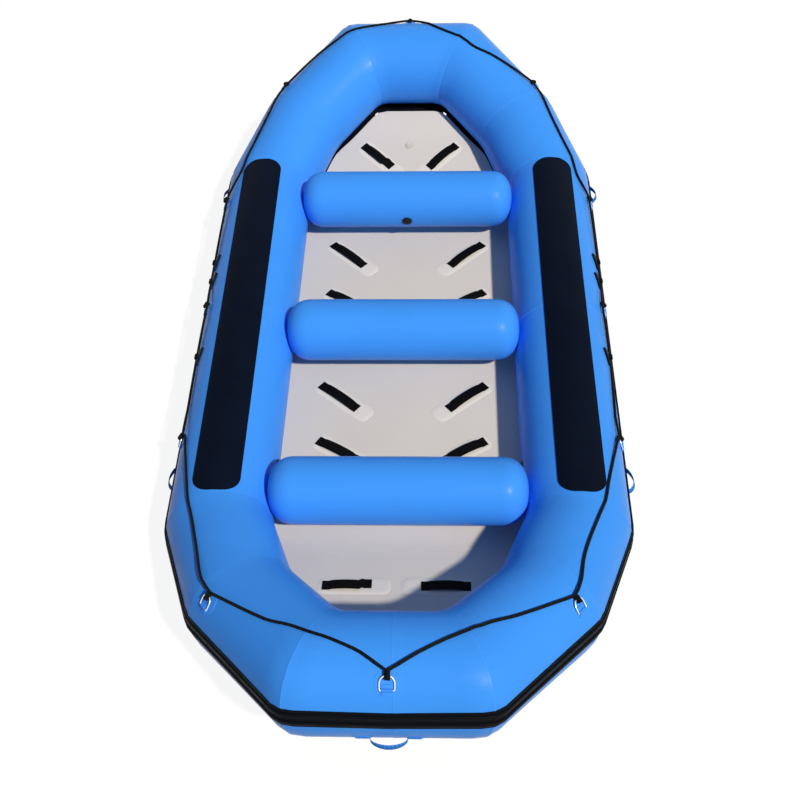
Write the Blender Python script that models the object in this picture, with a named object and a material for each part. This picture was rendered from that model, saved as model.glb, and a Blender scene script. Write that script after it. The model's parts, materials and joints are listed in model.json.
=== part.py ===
"""Self-bailing inflatable river raft: an air tube ring with lifted ends, three
thwarts, a laced-in drop-stitch floor, foot straps, D-rings and a grab line.

+Y runs from stern to bow, +X to the right, +Z up. The origin is on the ground
under the middle of the boat. All sizes are in metres.
"""

import math

import bmesh
import bpy
from mathutils import Matrix, Vector

# The air tube ring
LENGTH = 4.36
WIDTH = 1.98
TUBE_DIAMETER = 0.45
END_RISE = 0.257  # lift of the bow and stern cross tubes over the side tubes
CROSS_LENGTH = 0.548  # straight part between the two bends of a cross tube
CORNER_LENGTH = 0.806  # from a cross tube's centreline to the end of the straight sides
MIDDLE_BEND_ACROSS_SHARE = 0.672  # the bend half way round a corner
MIDDLE_BEND_ALONG_SHARE = 0.464
MIDDLE_BEND_RISE_SHARE = 0.405
CROSS_BEND_REACH = 0.10  # how far each side of its corner a bend is rounded
MIDDLE_BEND_REACH = 0.10
SIDE_BEND_REACH = 0.15
CROSS_BEND_STEPS = 4
MIDDLE_BEND_STEPS = 2
SIDE_BEND_STEPS = 2
TUBE_SIDES = 32

# Seats and gaps
GAP = 0.0003  # between pieces that touch
SKIN_GAP = 0.0007  # under a long piece that follows the tube's bends
RUNNING_GAP = 0.0005  # between pieces that turn in each other
SINK = 0.006  # how far a welded or bonded piece reaches into what carries it
OVERRUN = 0.004  # how far a cutter passes the face that it cuts

# Thwarts
THWART_DIAMETER = 0.294
THWART_HEIGHT = 0.32  # of its axis over the ground
THWART_PLACE_SHARES = (0.8046, -0.0459, -0.8817)  # of the straight side, bow to stern
THWART_END_LENGTH = 0.122  # of each rounded end
THWART_PRESS = 0.006  # how far the ends are pressed against the side tubes
THWART_SIDES = 32
THWART_END_STEPS = 5
THWART_TIP_SHARE = 0.12  # radius of the small flat at each end's tip

# Floor
FLOOR_THICKNESS = 0.12
FLOOR_EDGE_RADIUS = 0.012
FLOOR_EDGE_STEPS = 3

# Strip that the floor is laced to
LACE_STRIP_THICKNESS = 0.003
LACE_STRIP_ANGLE = math.radians(-127)  # where it is welded to the tube
LACE_STRIP_FLOOR_SHARE = 0.40  # of the floor's thickness, where it meets the floor's edge

# Wear patches on top of the side tubes
WEAR_PATCH_LENGTH = 2.215
WEAR_PATCH_WIDTH = 0.208
WEAR_PATCH_THICKNESS = 0.003
WEAR_PATCH_END = 0.085  # length of each rounded end
WEAR_PATCH_ANGLE = math.radians(88)
WEAR_PATCH_COLUMNS = 12
WEAR_PATCH_END_POWER = 2.6

# Ribbed rubbing strake round the outside
STRAKE_WIDTH = 0.082
STRAKE_BASE = 0.004
STRAKE_RIB_HEIGHT = 0.011
STRAKE_RIB_WIDTH = 0.016
STRAKE_RIB_PLACE = 0.019  # of each rib's middle from the strake's middle
STRAKE_RIB_SLOPE = 0.004
STRAKE_INNER_STEPS = 3
STRAKE_SIDE_ANGLE = math.radians(3)
STRAKE_END_ANGLE = math.radians(16)

# D-rings, their welded patches and tabs
RING_WIRE = 0.006
RING_WIDTH = 0.054  # between wire centres
RING_HEIGHT = 0.052  # from the bar's centre to the bow's centre
RING_CORNER_RADIUS = 0.0045
RING_CORNER_STEPS = 2
RING_BOW_STEPS = 8
RING_WIRE_SIDES = 6
RING_PATCH_RADIUS = 0.048
RING_PATCH_UP = 0.028  # of the patch's middle from the ring's bar, round the tube
RING_PATCH_THICKNESS = 0.0012
RING_PATCH_COLUMNS = 5
RING_TAB_WIDTH = 0.042
RING_TAB_WALL = 0.0025
RING_TAB_REACH = 0.019
RING_TAB_STEPS = 5
SIDE_RING_SHARES = (0.770, 0.073, -0.648)  # of the straight side, bow to stern
SIDE_RING_ANGLE = math.radians(19.5)
CORNER_RING_PAST_BEND = 0.092
CORNER_RING_ANGLE = math.radians(42)
END_RING_ANGLE = math.radians(48)

# Grab line
LINE_DIAMETER = 0.012
LINE_LIFT = 0.0018  # clear of the tube between its fastenings
LINE_STEP = 0.20
LINE_TURN = math.radians(12)  # most that one step goes round the tube
LINE_BEVEL_RESOLUTION = 2
HITCH_WIDTH = 0.018
HITCH_LENGTH = 0.032
HITCH_HEIGHT = 0.030
HITCH_STRAND = 0.0068
HITCH_CORNER_STEPS = 2
HITCH_PLACE = 0.0495  # from the ring's bar, up the tube
HITCH_LEG = 0.036  # each side of a hitch, where the line is still lifted
HITCH_LEG_RISE = 0.012
HITCH_LEG_LIFT_SHARE = 0.7
# The line's route over each quarter of the ring, from the middle of the side to
# the end: shares of the quarter's length, each with its angle round the tube
LINE_ROUTE_SHARES = {
    ("right", "bow"): (
        (0.417, 53), (0.500, 58), (0.609, 60), (0.745, 66), (0.792, 82), (0.842, 97), (0.926, 93),
        (0.967, 76),
    ),
    ("left", "bow"): (
        (0.440, 57), (0.499, 61), (0.609, 61), (0.774, 60), (0.807, 70), (0.849, 81), (0.882, 85),
        (0.924, 82), (0.966, 72),
    ),
    ("right", "stern"): (
        (0.255, 34), (0.381, 51), (0.456, 63), (0.531, 68), (0.597, 69), (0.660, 65), (0.764, 71),
        (0.814, 86), (0.848, 94), (0.889, 98), (0.931, 92), (0.964, 80),
    ),
    ("left", "stern"): (
        (0.235, 31), (0.377, 50), (0.452, 61), (0.519, 63), (0.594, 62), (0.660, 59), (0.752, 62),
        (0.794, 76), (0.852, 90), (0.886, 96), (0.927, 92), (0.965, 79),
    ),
}

# Rubber guides that keep the line on the side tubes
GUIDE_PLACE_SHARES = (0.358, 0.238, -0.211)  # of the straight side
GUIDE_ANGLE = math.radians(27)
GUIDE_LENGTH = 0.018
GUIDE_WALL = 0.004
GUIDE_FOOT = 0.012
GUIDE_FOOT_THICKNESS = 0.003
GUIDE_STEPS = 6
GUIDE_TAIL_LENGTH = 0.062  # up the tube from the line
GUIDE_TAIL_WIDTH = 0.018
GUIDE_TAIL_THICKNESS = 0.005
GUIDE_TAIL_LEAN = 0.018  # how far the tip lies nearer to the bow
GUIDE_TAIL_STEPS = 4  # round its tip

# Webbing carry handles
HANDLE_SPAN = 0.135  # between the welded feet
HANDLE_FOOT = 0.050
HANDLE_RISE = 0.055
END_HANDLE_RISE = 0.032
HANDLE_WEBBING_WIDTH = 0.025
HANDLE_WEBBING_THICKNESS = 0.003
HANDLE_STEPS = 10
SIDE_HANDLE_SHARES = (0.985, -0.730)  # of the straight side
SIDE_HANDLE_ANGLE = math.radians(-12)
END_HANDLE_ANGLE = math.radians(-20)

# Foot straps on the floor: outer end and inner end, as shares of the straight
# side fore and aft, and of the floor's half width across
FOOT_STRAP_PLACE_SHARES = (
    ((0.470, 1.336), (0.160, 1.183)),
    ((0.712, 0.684), (0.400, 0.534)),
    ((0.712, 0.360), (0.388, 0.250)),
    ((0.700, -0.203), (0.378, -0.337)),
    ((0.685, -0.504), (0.350, -0.606)),
    ((0.542, -1.219), (0.180, -1.219)),
)
FOOT_STRAP_WEBBING_WIDTH = 0.050
FOOT_STRAP_WEBBING_THICKNESS = 0.0035
FOOT_STRAP_FOOT = 0.030
FOOT_STRAP_RISE = 0.018
FOOT_STRAP_STEPS = 8
FOOT_PATCH_WIDTH = 0.096
FOOT_PATCH_OUTER_MARGIN = 0.018
FOOT_PATCH_INNER_MARGIN = 0.080
FOOT_PATCH_THICKNESS = 0.0012
FOOT_PATCH_CORNER = 0.024

# Air valves
VALVE_FLANGE_RADIUS = 0.027
VALVE_FLANGE_HEIGHT = 0.005
VALVE_SINK = 0.012
VALVE_CAP_RADIUS = 0.0195
VALVE_CAP_SEAT = 0.0025  # height of the cap's underside over the surface
VALVE_CAP_HEIGHT = 0.006
VALVE_GRIP_HEIGHT = 0.004
VALVE_GRIP_WIDTH = 0.006
VALVE_GRIP_LENGTH = 0.030
VALVE_SIDES = 16
BOW_VALVE_SHARE = 0.917  # of the straight side
STERN_VALVE_SHARE = -0.715
CHAMBER_VALVE_ANGLE = math.radians(176)
THWART_VALVE_DROP = math.radians(12)  # under the level of the thwart's axis
THWART_VALVE_FACES = (-1, 1, 1)  # towards the stern, or towards the bow
FLOOR_VALVE_SHARE = 1.335  # of the straight side

# Sizes that follow from those above
tube_radius = TUBE_DIAMETER / 2
side_x = WIDTH / 2 - tube_radius
end_y = LENGTH / 2 - tube_radius
side_y = end_y - CORNER_LENGTH
cross_x = CROSS_LENGTH / 2
middle_x = cross_x + MIDDLE_BEND_ACROSS_SHARE * (side_x - cross_x)
middle_y = end_y - MIDDLE_BEND_ALONG_SHARE * CORNER_LENGTH
middle_rise = MIDDLE_BEND_RISE_SHARE * END_RISE
line_radius = LINE_DIAMETER / 2
ring_radius = RING_WIRE / 2
ring_bar_height = RING_PATCH_THICKNESS + RING_TAB_WALL + ring_radius


def material(name, colour, roughness, metallic=0.0):
    """A plain surface with the colour that the piece has."""
    made = bpy.data.materials.new(name)
    made.use_nodes = True
    shader = made.node_tree.nodes["Principled BSDF"]
    shader.inputs["Base Color"].default_value = (*colour, 1.0)
    shader.inputs["Roughness"].default_value = roughness
    shader.inputs["Metallic"].default_value = metallic
    return made


def add_object(name, bm, finish, place=None, smooth=True):
    """Turns a bmesh into a named object, placed by its matrix."""
    bmesh.ops.recalc_face_normals(bm, faces=bm.faces)
    mesh = bpy.data.meshes.new(name)
    bm.to_mesh(mesh)
    bm.free()
    if smooth:
        mesh.shade_smooth()
        mesh.set_sharp_from_angle(angle=math.radians(35))
    made = bpy.data.objects.new(name, mesh)
    if finish is not None:
        mesh.materials.append(finish)
    bpy.context.scene.collection.objects.link(made)
    if place is not None:
        made.matrix_world = place
    return made


def add_helper(name, bm):
    """A shape that only cuts or joins another, and isn't a piece itself."""
    helper = add_object(name, bm, None, smooth=False)
    helper.hide_render = True
    helper.hide_viewport = False
    helper.display_type = "WIRE"
    return helper


def combine(target, helper, operation):
    """Joins a helper to a piece, or cuts it away."""
    modifier = target.modifiers.new(helper.name, "BOOLEAN")
    modifier.operation = operation
    modifier.object = helper
    modifier.solver = "EXACT"


def loft(rings, closed=False, slab=False, bm=None):
    """Skins a row of rings that have as many points each. A slab's end is closed
    by a strip between its two faces, any other end by one flat face."""
    bm = bm or bmesh.new()
    loops = [[bm.verts.new(point) for point in ring] for ring in rings]
    pairs = list(zip(loops, loops[1:]))
    if closed:
        pairs.append((loops[-1], loops[0]))
    for first, second in pairs:
        for i in range(len(first)):
            j = (i + 1) % len(first)
            bm.faces.new((first[i], first[j], second[j], second[i]))
    if not closed:
        for loop in (loops[0], loops[-1]):
            if slab:
                last = len(loop) - 1
                for i in range(len(loop) // 2 - 1):
                    bm.faces.new((loop[i], loop[i + 1], loop[last - i - 1], loop[last - i]))
            else:
                bm.faces.new(loop)
    return bm


def extrude_outline(outline, low, high, bm=None, place=None):
    """A prism over an outline in X and Y, from one height to another."""
    rings = [[Vector((x, y, z)) for x, y in outline] for z in (low, high)]
    if place is not None:
        rings = [[place @ point for point in ring] for ring in rings]
    return loft(rings, bm=bm)


def circle(radius, sides, centre=(0, 0)):
    """An outline of a round."""
    return [
        (
            centre[0] + radius * math.cos(2 * math.pi * i / sides),
            centre[1] + radius * math.sin(2 * math.pi * i / sides),
        )
        for i in range(sides)
    ]


def rounded_box(length, width, corner, steps):
    """An outline of a box with round corners, centred on zero."""
    outline = []
    for turn, (sign_x, sign_y) in enumerate(((1, 1), (-1, 1), (-1, -1), (1, -1))):
        for i in range(steps + 1):
            angle = math.pi / 2 * (turn + i / steps)
            outline.append(
                (
                    sign_x * (length / 2 - corner) + corner * math.cos(angle),
                    sign_y * (width / 2 - corner) + corner * math.sin(angle),
                )
            )
    return outline


def round_bend(before, corner, after, reach, steps):
    """The centreline through a corner of the ring. Each point comes with the
    corner's axes: every section of a bend lies parallel to its mitre plane."""
    first = (corner - before).normalized()
    second = (after - corner).normalized()
    along = (first + second).normalized()
    points = []
    for i in range(steps + 1):
        share = i / steps
        start = corner - first * reach * (1 - share)
        end = corner + second * reach * share
        points.append((start.lerp(end, share), section_axes(first, second, along)))
    return points


def section_axes(first, second, along):
    """Directions out of and up from a section, and the way and the share by which
    a section through a corner is longer than a round one."""
    outward = along.cross(Vector((0, 0, 1))).normalized()
    upward = outward.cross(along).normalized()
    if (second - first).length < GAP:
        return outward, upward, outward, 0.0
    longer = (second - first).normalized()
    return outward, upward, longer, 1 / math.cos(first.angle(second) / 2) - 1


def quarter_path():
    """The tube's centreline from the middle of the right side to the bow, with
    the numbers of the points where its three bends have their tops."""
    corners = [
        Vector((side_x, 0, tube_radius)),
        Vector((side_x, side_y, tube_radius)),
        Vector((middle_x, middle_y, tube_radius + middle_rise)),
        Vector((cross_x, end_y, tube_radius + END_RISE)),
        Vector((0, end_y, tube_radius + END_RISE)),
    ]
    bends = (
        (SIDE_BEND_REACH, SIDE_BEND_STEPS),
        (MIDDLE_BEND_REACH, MIDDLE_BEND_STEPS),
        (CROSS_BEND_REACH, CROSS_BEND_STEPS),
    )
    ahead = Vector((0, 1, 0))
    points = [(corners[0], section_axes(ahead, ahead, ahead))]
    tops = []
    for before, corner, after, (reach, steps) in zip(corners, corners[1:], corners[2:], bends):
        tops.append(len(points) + steps // 2)
        points += round_bend(before, corner, after, reach, steps)
    across = Vector((-1, 0, 0))
    points.append((corners[-1], section_axes(across, across, across)))
    return [point for point, _ in points], [axes for _, axes in points], tops


path, axes, (side_top, middle_top, cross_top) = quarter_path()
distances = [0]
for here, there in zip(path, path[1:]):
    distances.append(distances[-1] + (there - here).length)
quarter = distances[-1]
side_bend_at = distances[side_top]
middle_bend_at = distances[middle_top]
cross_bend_at = distances[cross_top]


def section_point(number, angle, radius):
    """A point on the section at one point of the path."""
    outward, upward, longer, share = axes[number]
    reach = radius * (math.cos(angle) * outward + math.sin(angle) * upward)
    return path[number] + reach + longer * share * reach.dot(longer)


def ring_point(along, angle, height=0.0):
    """A point over the tube ring's skin. Along runs anticlockwise round the boat
    from the middle of the right side, and angle up from the outer side."""
    along %= 4 * quarter
    part, rest = divmod(along, quarter)
    part = int(part)
    along_quarter = rest if part in (0, 2) else quarter - rest
    number = 0
    while number < len(path) - 2 and distances[number + 1] <= along_quarter:
        number += 1
    share = (along_quarter - distances[number]) / (distances[number + 1] - distances[number])
    radius = tube_radius + height
    point = section_point(number, angle, radius).lerp(
        section_point(number + 1, angle, radius), share
    )
    return Vector(
        (point.x * (1 if part in (0, 3) else -1), point.y * (1 if part in (0, 1) else -1), point.z)
    )


def place_along(along_quarter, right, bow):
    """The place along the ring of a point on one of its four quarters."""
    if bow:
        return along_quarter if right else 2 * quarter - along_quarter
    return 4 * quarter - along_quarter if right else 2 * quarter + along_quarter


def side_place(share, right, angle=0.0):
    """The place along the ring of a share of the straight side, at an angle."""
    reach = abs(share) * side_y / section_point(1, angle, tube_radius).y
    return place_along(reach * distances[1], right, share >= 0)


def stretch(along, angle):
    """How much longer the skin is than the centreline here."""
    step = LINE_DIAMETER
    ends = ring_point(along + step, angle) - ring_point(along - step, angle)
    return ends.length / (2 * step)


def seat(along, angle):
    """A frame on the skin: X along the tube, Y up round it and Z out of it."""
    step = LINE_DIAMETER
    origin = ring_point(along, angle)
    x_axis = (ring_point(along + step, angle) - ring_point(along - step, angle)).normalized()
    turn = step / tube_radius
    y_axis = ring_point(along, angle + turn) - ring_point(along, angle - turn)
    z_axis = x_axis.cross(y_axis).normalized()
    y_axis = z_axis.cross(x_axis)
    frame = Matrix((x_axis, y_axis, z_axis)).transposed().to_4x4()
    frame.translation = origin
    return frame


def bend_stations(first, last):
    """Places along the ring, between two, where the skin's sections lie."""
    stations = []
    for part in range(-4, 8):
        for distance in distances:
            at = part * quarter + (distance if part % 2 == 0 else quarter - distance)
            if first + GAP < at < last - GAP:
                stations.append(at)
    return sorted(set(round(at / GAP) * GAP for at in stations))


def skin_slab(along, half_length, angle, half_width, columns, power, low, high, bm=None, straight=0):
    """A pad that lies on the skin, with rounded ends, from one height to another.
    Each column of it runs along the tube; straight is the part with full width."""
    bm = bm or bmesh.new()
    rings = []
    for i in range(columns + 1):
        across = -math.cos(math.pi * (i + 0.5) / (columns + 1))
        end = (half_length - straight) * (1 - abs(across) ** power) ** (1 / power)
        reach = straight + end
        turn = angle + across * half_width / tube_radius
        places = [along - reach]
        places += [at for at in bend_stations(along - half_length, along + half_length)]
        places.append(along + reach)
        places = [min(max(at, along - reach), along + reach) for at in places]
        places = spread(places)
        lower = [ring_point(at, turn, low) for at in places]
        upper = [ring_point(at, turn, high) for at in reversed(places)]
        rings.append(lower + upper)
    return loft(rings, slab=True, bm=bm)


def spread(places):
    """Keeps places that were moved to one spot a little apart."""
    for i in range(1, len(places)):
        places[i] = max(places[i], places[i - 1] + GAP)
    return places


def chamber_sections(first, last):
    """Places of a chamber's sections, its ends a little short of its neighbours'."""
    return [first + GAP / 2] + bend_stations(first, last) + [last - GAP / 2]


CHAMBERS = {
    "chamber_bow_right": (0, cross_bend_at),
    "chamber_bow_left": (cross_bend_at, 2 * quarter),
    "chamber_stern_left": (2 * quarter, 2 * quarter + cross_bend_at),
    "chamber_stern_right": (2 * quarter + cross_bend_at, 4 * quarter),
}


def ring_places():
    """Each D-ring's name, place along the ring and angle of its bar."""
    places = []
    for side, right in (("right", True), ("left", False)):
        for name, share in zip(("front", "middle", "rear"), SIDE_RING_SHARES):
            at = side_place(share, right, SIDE_RING_ANGLE)
            places.append((f"d_ring_{side}_{name}", at, SIDE_RING_ANGLE))
        for name, bow in (("bow", True), ("stern", False)):
            at = place_along(middle_bend_at + CORNER_RING_PAST_BEND, right, bow)
            places.append((f"d_ring_{side}_{name}_corner", at, CORNER_RING_ANGLE))
    places.append(("d_ring_bow", quarter, END_RING_ANGLE))
    places.append(("d_ring_stern", 3 * quarter, END_RING_ANGLE))
    return places


def handle_places():
    """Each handle's name, place along the ring and angle."""
    places = [("handle_bow", quarter, END_HANDLE_ANGLE), ("handle_stern", 3 * quarter, END_HANDLE_ANGLE)]
    for side, right in (("right", True), ("left", False)):
        for name, share in zip(("front", "rear"), SIDE_HANDLE_SHARES):
            at = side_place(share, right, SIDE_HANDLE_ANGLE)
            places.append((f"handle_{side}_{name}", at, SIDE_HANDLE_ANGLE))
    return places


def chamber_of(along):
    """The chamber that carries a fitting at a place along the ring."""
    along %= 4 * quarter
    for name, (first, last) in CHAMBERS.items():
        if first <= along < last:
            return name
    return None


def ring_patches(names_places, bm):
    """The round welded patches under the D-rings of one chamber."""
    for _, along, angle in names_places:
        reach = RING_PATCH_RADIUS / stretch(along, angle)
        centre = angle + RING_PATCH_UP / tube_radius
        skin_slab(
            along, reach, centre, RING_PATCH_RADIUS,
            RING_PATCH_COLUMNS, 2, -SINK, RING_PATCH_THICKNESS, bm,
        )
    return bm


def ring_tab_outline():
    """The tab's outline round a ring's bar, seen along the bar."""
    outer = ring_radius + RING_TAB_WALL
    outline = [(-RING_TAB_REACH, -SINK), (-RING_TAB_REACH, RING_PATCH_THICKNESS + RING_TAB_WALL / 2)]
    for i in range(RING_TAB_STEPS + 1):
        angle = math.pi * (1 - i / RING_TAB_STEPS)
        outline.append((outer * math.cos(angle), ring_bar_height + outer * math.sin(angle)))
    outline.append((RING_TAB_REACH, RING_PATCH_THICKNESS + RING_TAB_WALL / 2))
    outline.append((RING_TAB_REACH, -SINK))
    return outline


def along_bar(place, outline, half_length, bm):
    """A prism along a bar: the outline is up the tube and out of it."""
    rings = [
        [place @ Vector((x, up, out)) for up, out in outline] for x in (-half_length, half_length)
    ]
    return loft(rings, bm=bm)


def valve_body(place, bm):
    """The bonded flange of a valve."""
    outline = circle(VALVE_FLANGE_RADIUS, VALVE_SIDES)
    return extrude_outline(outline, -VALVE_SINK, VALVE_FLANGE_HEIGHT, bm, place)


def valve_recess(place, bm):
    """The round recess that the cap turns in."""
    inner = (VALVE_CAP_RADIUS + RUNNING_GAP) / math.cos(math.pi / VALVE_SIDES)
    outline = circle(inner, VALVE_SIDES)
    return extrude_outline(outline, VALVE_CAP_SEAT - GAP, VALVE_FLANGE_HEIGHT + OVERRUN, bm, place)


def chamber_valve_places():
    """The chamber valves, on the inner side of the side tubes."""
    return {
        "valve_cap_bow_right": side_place(BOW_VALVE_SHARE, True, CHAMBER_VALVE_ANGLE),
        "valve_cap_bow_left": side_place(BOW_VALVE_SHARE, False, CHAMBER_VALVE_ANGLE),
        "valve_cap_stern_right": side_place(STERN_VALVE_SHARE, True, CHAMBER_VALVE_ANGLE),
        "valve_cap_stern_left": side_place(STERN_VALVE_SHARE, False, CHAMBER_VALVE_ANGLE),
    }


def make_chambers(finish):
    """The four air chambers, each with its welded fittings."""
    for name, (first, last) in CHAMBERS.items():
        rings = []
        for at in chamber_sections(first, last):
            turns = [2 * math.pi * i / TUBE_SIDES for i in range(TUBE_SIDES)]
            rings.append([ring_point(at, turn) for turn in turns])
        chamber = add_object(name, loft(rings), finish)
        mine = [place for place in ring_places() if chamber_of(place[1]) == name]
        patches = ring_patches(mine, bmesh.new())
        tabs, holes = bmesh.new(), bmesh.new()
        bar_hole = (ring_radius + RUNNING_GAP) / math.cos(math.pi / RING_WIRE_SIDES)
        for _, along, angle in mine:
            place = seat(along, angle)
            along_bar(place, ring_tab_outline(), RING_TAB_WIDTH / 2, tabs)
            hole = [(y, ring_bar_height + z) for y, z in circle(bar_hole, RING_WIRE_SIDES)]
            along_bar(place, hole, RING_TAB_WIDTH / 2 + OVERRUN, holes)
        for _, along in chamber_valve_places().items():
            if chamber_of(along) == name:
                place = seat(along, CHAMBER_VALVE_ANGLE)
                valve_body(place, tabs)
                valve_recess(place, holes)
        combine(chamber, add_helper(f"{name}_patches", patches), "UNION")
        combine(chamber, add_helper(f"{name}_fittings", tabs), "UNION")
        combine(chamber, add_helper(f"{name}_holes", holes), "DIFFERENCE")


def thwart_places():
    """Where the thwarts' axes cross the boat's middle plane."""
    return [share * side_y for share in THWART_PLACE_SHARES]


def thwart_half():
    """Half a thwart's length, to the tip of its rounded end: where the end meets
    the side tube's wall, and a little on."""
    reaches = []
    for i in range(-THWART_SIDES + 1, THWART_SIDES):
        share = i / THWART_SIDES
        rise = THWART_HEIGHT + share * THWART_DIAMETER / 2 - tube_radius
        if abs(rise) < tube_radius:
            wall = side_x - math.sqrt(tube_radius**2 - rise**2)
            reaches.append(wall + THWART_END_LENGTH * (1 - math.sqrt(1 - share**2)))
    return min(reaches) + THWART_PRESS


def make_thwarts(finish):
    """The cross tubes, their round ends pressed against the side tubes."""
    radius, half = THWART_DIAMETER / 2, thwart_half()
    rows = []
    for i in range(THWART_END_STEPS):
        angle = math.pi / 2 * i / THWART_END_STEPS
        rows.append((half - THWART_END_LENGTH * (1 - math.sin(angle)), radius * math.cos(angle)))
    rows.append((half, radius * THWART_TIP_SHARE))
    stations = [(-x, size) for x, size in reversed(rows)] + rows
    for name, y, face in zip(("front", "middle", "rear"), thwart_places(), THWART_VALVE_FACES):
        rings = []
        for x, size in stations:
            rings.append([Vector((x, py, pz)) for py, pz in circle(size, THWART_SIDES)])
        place = Matrix.Translation((0, y, THWART_HEIGHT))
        thwart = add_object(f"thwart_{name}", loft(rings), finish, place)
        bodies, recesses = bmesh.new(), bmesh.new()
        valve_body(thwart_valve_place(y, face), bodies)
        valve_recess(thwart_valve_place(y, face), recesses)
        combine(thwart, add_helper(f"thwart_{name}_valve", bodies), "UNION")
        combine(thwart, add_helper(f"thwart_{name}_recess", recesses), "DIFFERENCE")
        combine(thwart, side_tube_cutter(f"thwart_{name}_ends", y), "DIFFERENCE")


def side_tube_cutter(name, y):
    """The side tubes near a thwart, larger by the gap, that dish its ends."""
    bm = bmesh.new()
    for right in (True, False):
        middle = place_along(abs(y), right, y > 0)
        ends = (middle - THWART_DIAMETER, middle + THWART_DIAMETER)
        rings = []
        for at in [ends[0]] + bend_stations(*ends) + [ends[1]]:
            turns = [2 * math.pi * i / TUBE_SIDES for i in range(TUBE_SIDES)]
            rings.append([ring_point(at, turn, GAP) for turn in turns])
        loft(rings, bm=bm)
    return add_helper(name, bm)


def thwart_valve_place(y, face):
    """A frame on a thwart's skin, facing the stern or the bow."""
    z_axis = Vector((0, face * math.cos(THWART_VALVE_DROP), -math.sin(THWART_VALVE_DROP)))
    x_axis = Vector((1, 0, 0))
    y_axis = z_axis.cross(x_axis)
    frame = Matrix((x_axis, y_axis, z_axis)).transposed().to_4x4()
    flat = THWART_DIAMETER / 2 * math.cos(math.pi / THWART_SIDES)
    frame.translation = Vector((0, y, THWART_HEIGHT)) + z_axis * flat
    return frame


def floor_inset():
    """From the tube's centreline to the floor's edge, with the edge's rounding."""
    below = tube_radius - (FLOOR_THICKNESS - FLOOR_EDGE_RADIUS)
    reach = tube_radius + FLOOR_EDGE_RADIUS + GAP
    return math.sqrt(reach**2 - below**2) - FLOOR_EDGE_RADIUS


def floor_bottom(y):
    """The height of the floor's underside: it rises with the tube's centreline."""
    y = abs(y)
    for low, high in zip(path, path[1:]):
        if low.y <= y < high.y:
            return low.lerp(high, (y - low.y) / (high.y - low.y)).z - tube_radius
    return path[-1].z - tube_radius


def floor_corners(inset):
    """The floor's edge from amidships to the bow on the right: a point for each
    section of the tube, drawn in from the centreline."""
    corners = []
    for point, (outward, _, longer, share) in zip(path, axes):
        inner = point - inset * (outward + longer * share * outward.dot(longer))
        corners.append(Vector((inner.x, inner.y, floor_bottom(inner.y))))
    return corners


def floor_seat(x, y, reach, turn=0.0):
    """A frame on the floor's upper face, level with it at a reach fore and aft."""
    low, high = floor_bottom(y - reach), floor_bottom(y + reach)
    slope = Vector((0, 2 * reach, high - low)).normalized()
    frame = Matrix((Vector((1, 0, 0)), slope, Vector((1, 0, 0)).cross(slope))).transposed().to_4x4()
    frame.translation = Vector((x, y, (low + high) / 2 + FLOOR_THICKNESS))
    return frame @ Matrix.Rotation(turn, 4, "Z")


def strap_seat(middle, length, turn):
    """A frame on the floor under the middle of a foot strap."""
    reach = length / 2 * abs(math.sin(turn)) + FOOT_STRAP_WEBBING_WIDTH / 2
    return floor_seat(middle.x, middle.y, reach, turn)


def strap_places():
    """Each foot strap's name, middle, length and direction on the floor."""
    half = floor_corners(floor_inset())[0].x
    names = ("bow", "front_a", "front_b", "rear_a", "rear_b", "stern")
    places = []
    for name, (outer, inner) in zip(names, FOOT_STRAP_PLACE_SHARES):
        for side, sign in (("right", 1), ("left", -1)):
            start = Vector((sign * outer[0] * half, outer[1] * side_y))
            end = Vector((sign * inner[0] * half, inner[1] * side_y))
            run = end - start
            middle = (start + end) / 2
            places.append((f"foot_strap_{side}_{name}", middle, run.length, math.atan2(run.y, run.x)))
    return places


def floor_outlines():
    """The floor's outline at each height of its rounded edge, from the underside
    up. Each runs up the right side from the stern and back down the left."""
    levels = []
    for i in range(FLOOR_EDGE_STEPS + 1):
        angle = math.pi / 2 * i / FLOOR_EDGE_STEPS
        levels.append((1 - math.sin(angle), 1 - math.cos(angle)))
    inset = floor_inset()
    outlines = []
    for upper in (False, True):
        for drawn_in, height in reversed(levels) if upper else levels:
            z = FLOOR_EDGE_RADIUS * height
            z = FLOOR_THICKNESS - z if upper else z
            ahead = floor_corners(inset + FLOOR_EDGE_RADIUS * drawn_in)[:-1]
            right = [corner * Vector((1, -1, 1)) for corner in reversed(ahead[1:])] + ahead
            left = [corner * Vector((-1, 1, 1)) for corner in reversed(right)]
            outlines.append([corner + Vector((0, 0, z)) for corner in right + left])
    return outlines


def make_floor(finish):
    """The drop-stitch panel, bent up at both ends, with the welded strap patches."""
    floor = add_object("floor_panel", loft(floor_outlines(), slab=True), finish)
    patches = bmesh.new()
    for _, middle, length, turn in strap_places():
        outer = length / 2 + FOOT_PATCH_OUTER_MARGIN
        inner = length / 2 + FOOT_PATCH_INNER_MARGIN
        shift = Matrix.Translation(((inner - outer) / 2, 0, 0))
        outline = rounded_box(outer + inner, FOOT_PATCH_WIDTH, FOOT_PATCH_CORNER, RING_CORNER_STEPS)
        place = strap_seat(middle, length, turn) @ shift
        extrude_outline(outline, -SINK, FOOT_PATCH_THICKNESS, patches, place)
    combine(floor, add_helper("floor_patches", patches), "UNION")
    valve_place = floor_seat(0, FLOOR_VALVE_SHARE * side_y, VALVE_FLANGE_RADIUS)
    combine(floor, add_helper("floor_valve", valve_body(valve_place, bmesh.new())), "UNION")
    combine(floor, add_helper("floor_recess", valve_recess(valve_place, bmesh.new())), "DIFFERENCE")


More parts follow.
